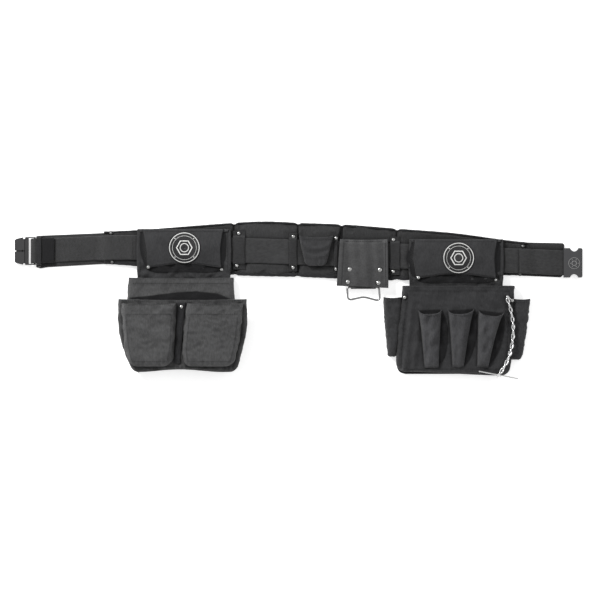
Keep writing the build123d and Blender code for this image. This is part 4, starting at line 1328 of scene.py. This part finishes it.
# ------------------------------------------------------------------ hammer holder
(x0, y0, _), (x1, _, _) = corners("hammer_plate")
sleeve_low, sleeve_high = corners("hammer_sleeve")
u = np.linspace(0, 1, 56)
grid = []
for v in np.arange(60) / 59:
    # one leather leaf from the top of the holder down to the loop
    left = np.interp(v, [0, 0.35, 1], [x0 + 2.0, x0 - 1.0, x0 - 4.4])
    right = np.interp(v, [0, 1], [x1 - 2.6, x1 - 1.6])
    x = left + (right - left) * u
    top = sleeve_high[1] + 1.6 - 1.4 * arch(u)
    y = top + (y0 + 3.4 - 4.4 * u - top) * v
    z = 18.2 + 1.4 * arch(v) + 0.8 * arch(u) + 0.35 * folds(x, y, 111, 45.0)
    z = z - 2.2 * (1 - smooth(0.0, 0.09, v))
    z = z + np.sin(x * 0.11 + 0.6 * np.sin(y * 0.06)) + 0.7 * np.sin(x * 0.27 + 1.2 + 0.02 * y)
    grid.append(row(x, y, z + 0.7 * (1 - smooth(7.0, 8.2, x - left)) - 0.5 * bell(right - x, 9.0, 1.2)))
leaf = cloth("hammer_holder_leaf", grid, 2.4)
LOW_RIVETS = [(98.8, 36.5), (160.0, 34.6)]
spots = [s for s in rivet_spots("hammer_rivets") if s[1] > 50.0]
spots += [(x, y, spots[0][2]) for x, y in LOW_RIVETS]
set_points(leaf, pucker(get_points(leaf), spots, 0.6, 8.0, 5))
ride(leaf, "hammer_holder", "leather", "holder_leather", "hammer_plate")

path = rounded_path([
    (46.0, 12.8), (62.0, 11.2), (119.5, 11.2), (119.5, 16.0), (62.0, 16.0), (47.0, 15.0),
], 3.0)
xs = np.linspace(sleeve_low[0], sleeve_high[0], 30)
grid = [row(xs, y, z + 0.1 * folds(xs, y, 113, 30.0)) for y, z in resample(path, 80)]
sleeve_piece = cloth("hammer_holder_sleeve", grid, 1.3, offset=0.0)
ride(sleeve_piece, "hammer_holder", "holder", "holder_fabric", "hammer_sleeve")
probe = surface(leaf)
spots = stood(spots, probe)
rivets("hammer_rivet_heads", spots, "hammer_holder", "hammer_rivets", size=1.3)
washers("hammer_washers", spots, "hammer_holder", size=1.25)
ts = np.linspace(0, 1, 30)
sewn("hammer_holder_stitches", [
    [(x, sleeve_high[1] - 3.5) for x in np.linspace(x0 + 12, x1 - 14, 30)],
    [(x0 + 9.8 - 5.0 * t, 119.0 - 88.0 * t) for t in ts], [(x1 - 7.5 + t, 119.0 - 90.0 * t) for t in ts],
], probe, "hammer_holder", "holder_leather")


# ------------------------------------------------------------------ rivets of the belt
for node, body in (("belt_rivets_left", "belt_left"), ("belt_rivets_right", "belt")):
    spots = rivet_spots(node)
    bright = [s for s in spots if -300.0 < s[0] < 400.0]
    dull = [s for s in spots if s not in bright]
    rivets(f"{node}_heads", bright, body, node, raise_by=0.5)
    rivets(f"{node}_end_heads", dull, body, size=0.9, raise_by=0.5, material="rivet_dark")
    washers(f"{node}_washers", spots, body, raise_by=0.3)
corner_spots = rivet_spots("corner_rivet")
rivets("corner_rivet_head", corner_spots, "left_tail", "corner_rivet", size=0.8, material="rivet_dark")


# ------------------------------------------------------------------ CAD nodes that stay, restyled
for node, material, bevel in (
    ("buckle_plug", "plug", 0.5), ("plug_arm_upper", "plug", 0.5), ("plug_arm_lower", "plug", 0.5),
    ("buckle_socket", "plastic", 0.5), ("hammer_loop", "loop", 0), ("loop_bracket", "leather", 0.3),
    ("tape_bar", "chain", 0),
):
    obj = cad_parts[node]
    obj.data.materials.clear()
    obj.data.materials.append(MATS[material])
    if bevel:
        modify(obj, "BEVEL", width=bevel * MM, segments=3, limit_method="ANGLE", angle_limit=math.radians(35))
        modify(obj, "WEIGHTED_NORMAL", keep_sharp=False)
for name, x0, y0, y1, thickness in (
    ("plug_tongue", -566.0, 92.6, 104.6, 1.6), ("plug_root", -553.0, 74.0, 123.0, 1.2),
):
    xs = np.linspace(x0, -544.0, 24)
    grid = [row(xs, y, 4.6 + 1.4 * smooth(-548.4, -546.5, xs)) for y in np.linspace(y0, y1, 8)]
    ride(cloth(name, grid, thickness), "left_tail", "plug", "buckle_plastic")


# ------------------------------------------------------------------ tape chain
PITCH = 8.8
WIRE = 1.55
LINK_WIDTH = 8.4
CHAIN = ("chain_upper", "chain_middle", "chain_lower")


def link(centre, ahead, roll, length=12.6):
    """One twisted oval link, its long axis ahead."""
    ahead = np.append(ahead, 0.0)
    side = np.array([-ahead[1], ahead[0], 0.0])
    points = []
    for a in ring_angles(28):
        along = (length / 2 - WIRE) * squared(math.cos(a), 0.8)
        across = (LINK_WIDTH / 2 - WIRE) * squared(math.sin(a), 0.8)
        twist = roll + along / length
        points.append(centre + ahead * along + across * (side * math.cos(twist) + (0, 0, math.sin(twist))))
    return tube(points, WIRE, closed=True)


chain_z = sum(corner[2] for corner in corners("chain_upper")) / 2
whole = node_points(*CHAIN)
course = np.polyfit(whole[:, 1], whole[:, 0], 4)
for number, node in enumerate(CHAIN, 1):
    points = node_points(node)
    ys = np.linspace(points[:, 1].max(), points[:, 1].min(), 30)
    line = np.stack([np.polyval(course, ys), ys], axis=1)
    count = max(4, round((path_length(line) - 2.0) / PITCH))
    aheads = np.diff(resample(line, count + 1), axis=0)
    links = []
    for k, (centre, ahead) in enumerate(zip(resample(line, 2 * count + 1)[1::2], aheads)):
        links.append(link((*centre, chain_z + 0.4), ahead / np.linalg.norm(ahead), 0.35 + k % 2 * PI / 2))
    ride(joined(f"{node}_links", links), f"chain_{number}", "chain", "chain_steel", node)

start = node_points("chain_upper")
start = start[np.argmax(start[:, 1])]
anchor = max(rivet_spots("right_bag_rivets"))
line = resample([anchor[:2], (start[0] + 1.5, start[1] + 2.5)], 12)
tab = [(x, y, on_right(x, y, 25.0)[0] + 1.0 + 0.2 * k) for k, (x, y) in enumerate(line)]
ring = link((start[0], start[1] + 2.5, chain_z), (-0.5, 0.87), 0.9, length=9.0)
ride(joined("chain_tab_piece", [tube(tab, 0.8), ring]), "right_bag", "chain", "chain_steel", "chain_tab")


# ------------------------------------------------------------------ plain roundel on the socket
probe = surface(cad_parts["buckle_socket"])
x, y = centre_of("buckle_socket")
middle = (x + 2.2, y - 0.9)
marks = [disc(middle, 11.6, probe, 0.7, 10.7, 3, 40), disc(middle, 5.2, probe, 0.7, 3.9, 3, 30)]
marks += [disc(spot, 0.9, probe, 0.7, rings=3, sides=12) for spot in around(middle, 7.9, 6)]
ride(thicken(joined("socket_roundel", marks), 0.9), "right_tail", "badge_grey", "buckle_plastic")


# ------------------------------------------------------------------ stage, lights and camera
FLOOR_SIZE = 4000
FLOOR_Z = -0.3
FLOOR_GLOW = 0.6            # keeps the floor as pale as the photograph's background
SKY_LIGHT = 0.52
LAMPS = (("key", (-1.6, 1.7, 1.9), 0.7, 78.0), ("fill", (1.9, 0.6, 2.2), 1.4, 8.0))
CAMERA_PLACE = (0.003, 0.0004, 6.02)
LENS = 180.0
WHITE = (1.0, 1.0, 1.0, 1.0)
corner_points = [(x * FLOOR_SIZE, y * FLOOR_SIZE, FLOOR_Z) for x, y in ((-1, -1), (1, -1), (1, 1), (-1, 1))]
floor = make_object("floor", corner_points, [(0, 1, 2, 3)])
paper = shader(
    "floor_paper", (0.86, 0.86, 0.86), 0.9, Emission_Color=WHITE, Emission_Strength=FLOOR_GLOW)[0]
floor.data.materials.append(paper)

world = bpy.data.worlds.new("studio")
world.use_nodes = True
world.node_tree.nodes["Background"].inputs[0].default_value = WHITE
world.node_tree.nodes["Background"].inputs[1].default_value = SKY_LIGHT
SCENE.world = world
for name, place, size, power in LAMPS:
    data = bpy.data.lights.new(name, "AREA")
    data.shape = "DISK"
    data.size = size
    data.energy = power
    lamp = bpy.data.objects.new(name, data)
    SCENE.collection.objects.link(lamp)
    lamp.location = place
    lamp.rotation_mode = "QUATERNION"
    lamp.rotation_quaternion = (-Vector(place)).to_track_quat("-Z", "Y")

camera_data = bpy.data.cameras.new("camera")
camera_data.lens = LENS
camera_data.sensor_width = 36.0
camera_data.clip_end = 50.0
camera = bpy.data.objects.new("camera", camera_data)
camera.location = CAMERA_PLACE
SCENE.collection.objects.link(camera)
SCENE.camera = camera
SCENE.view_settings.view_transform = "Standard"

bpy.context.view_layer.update()
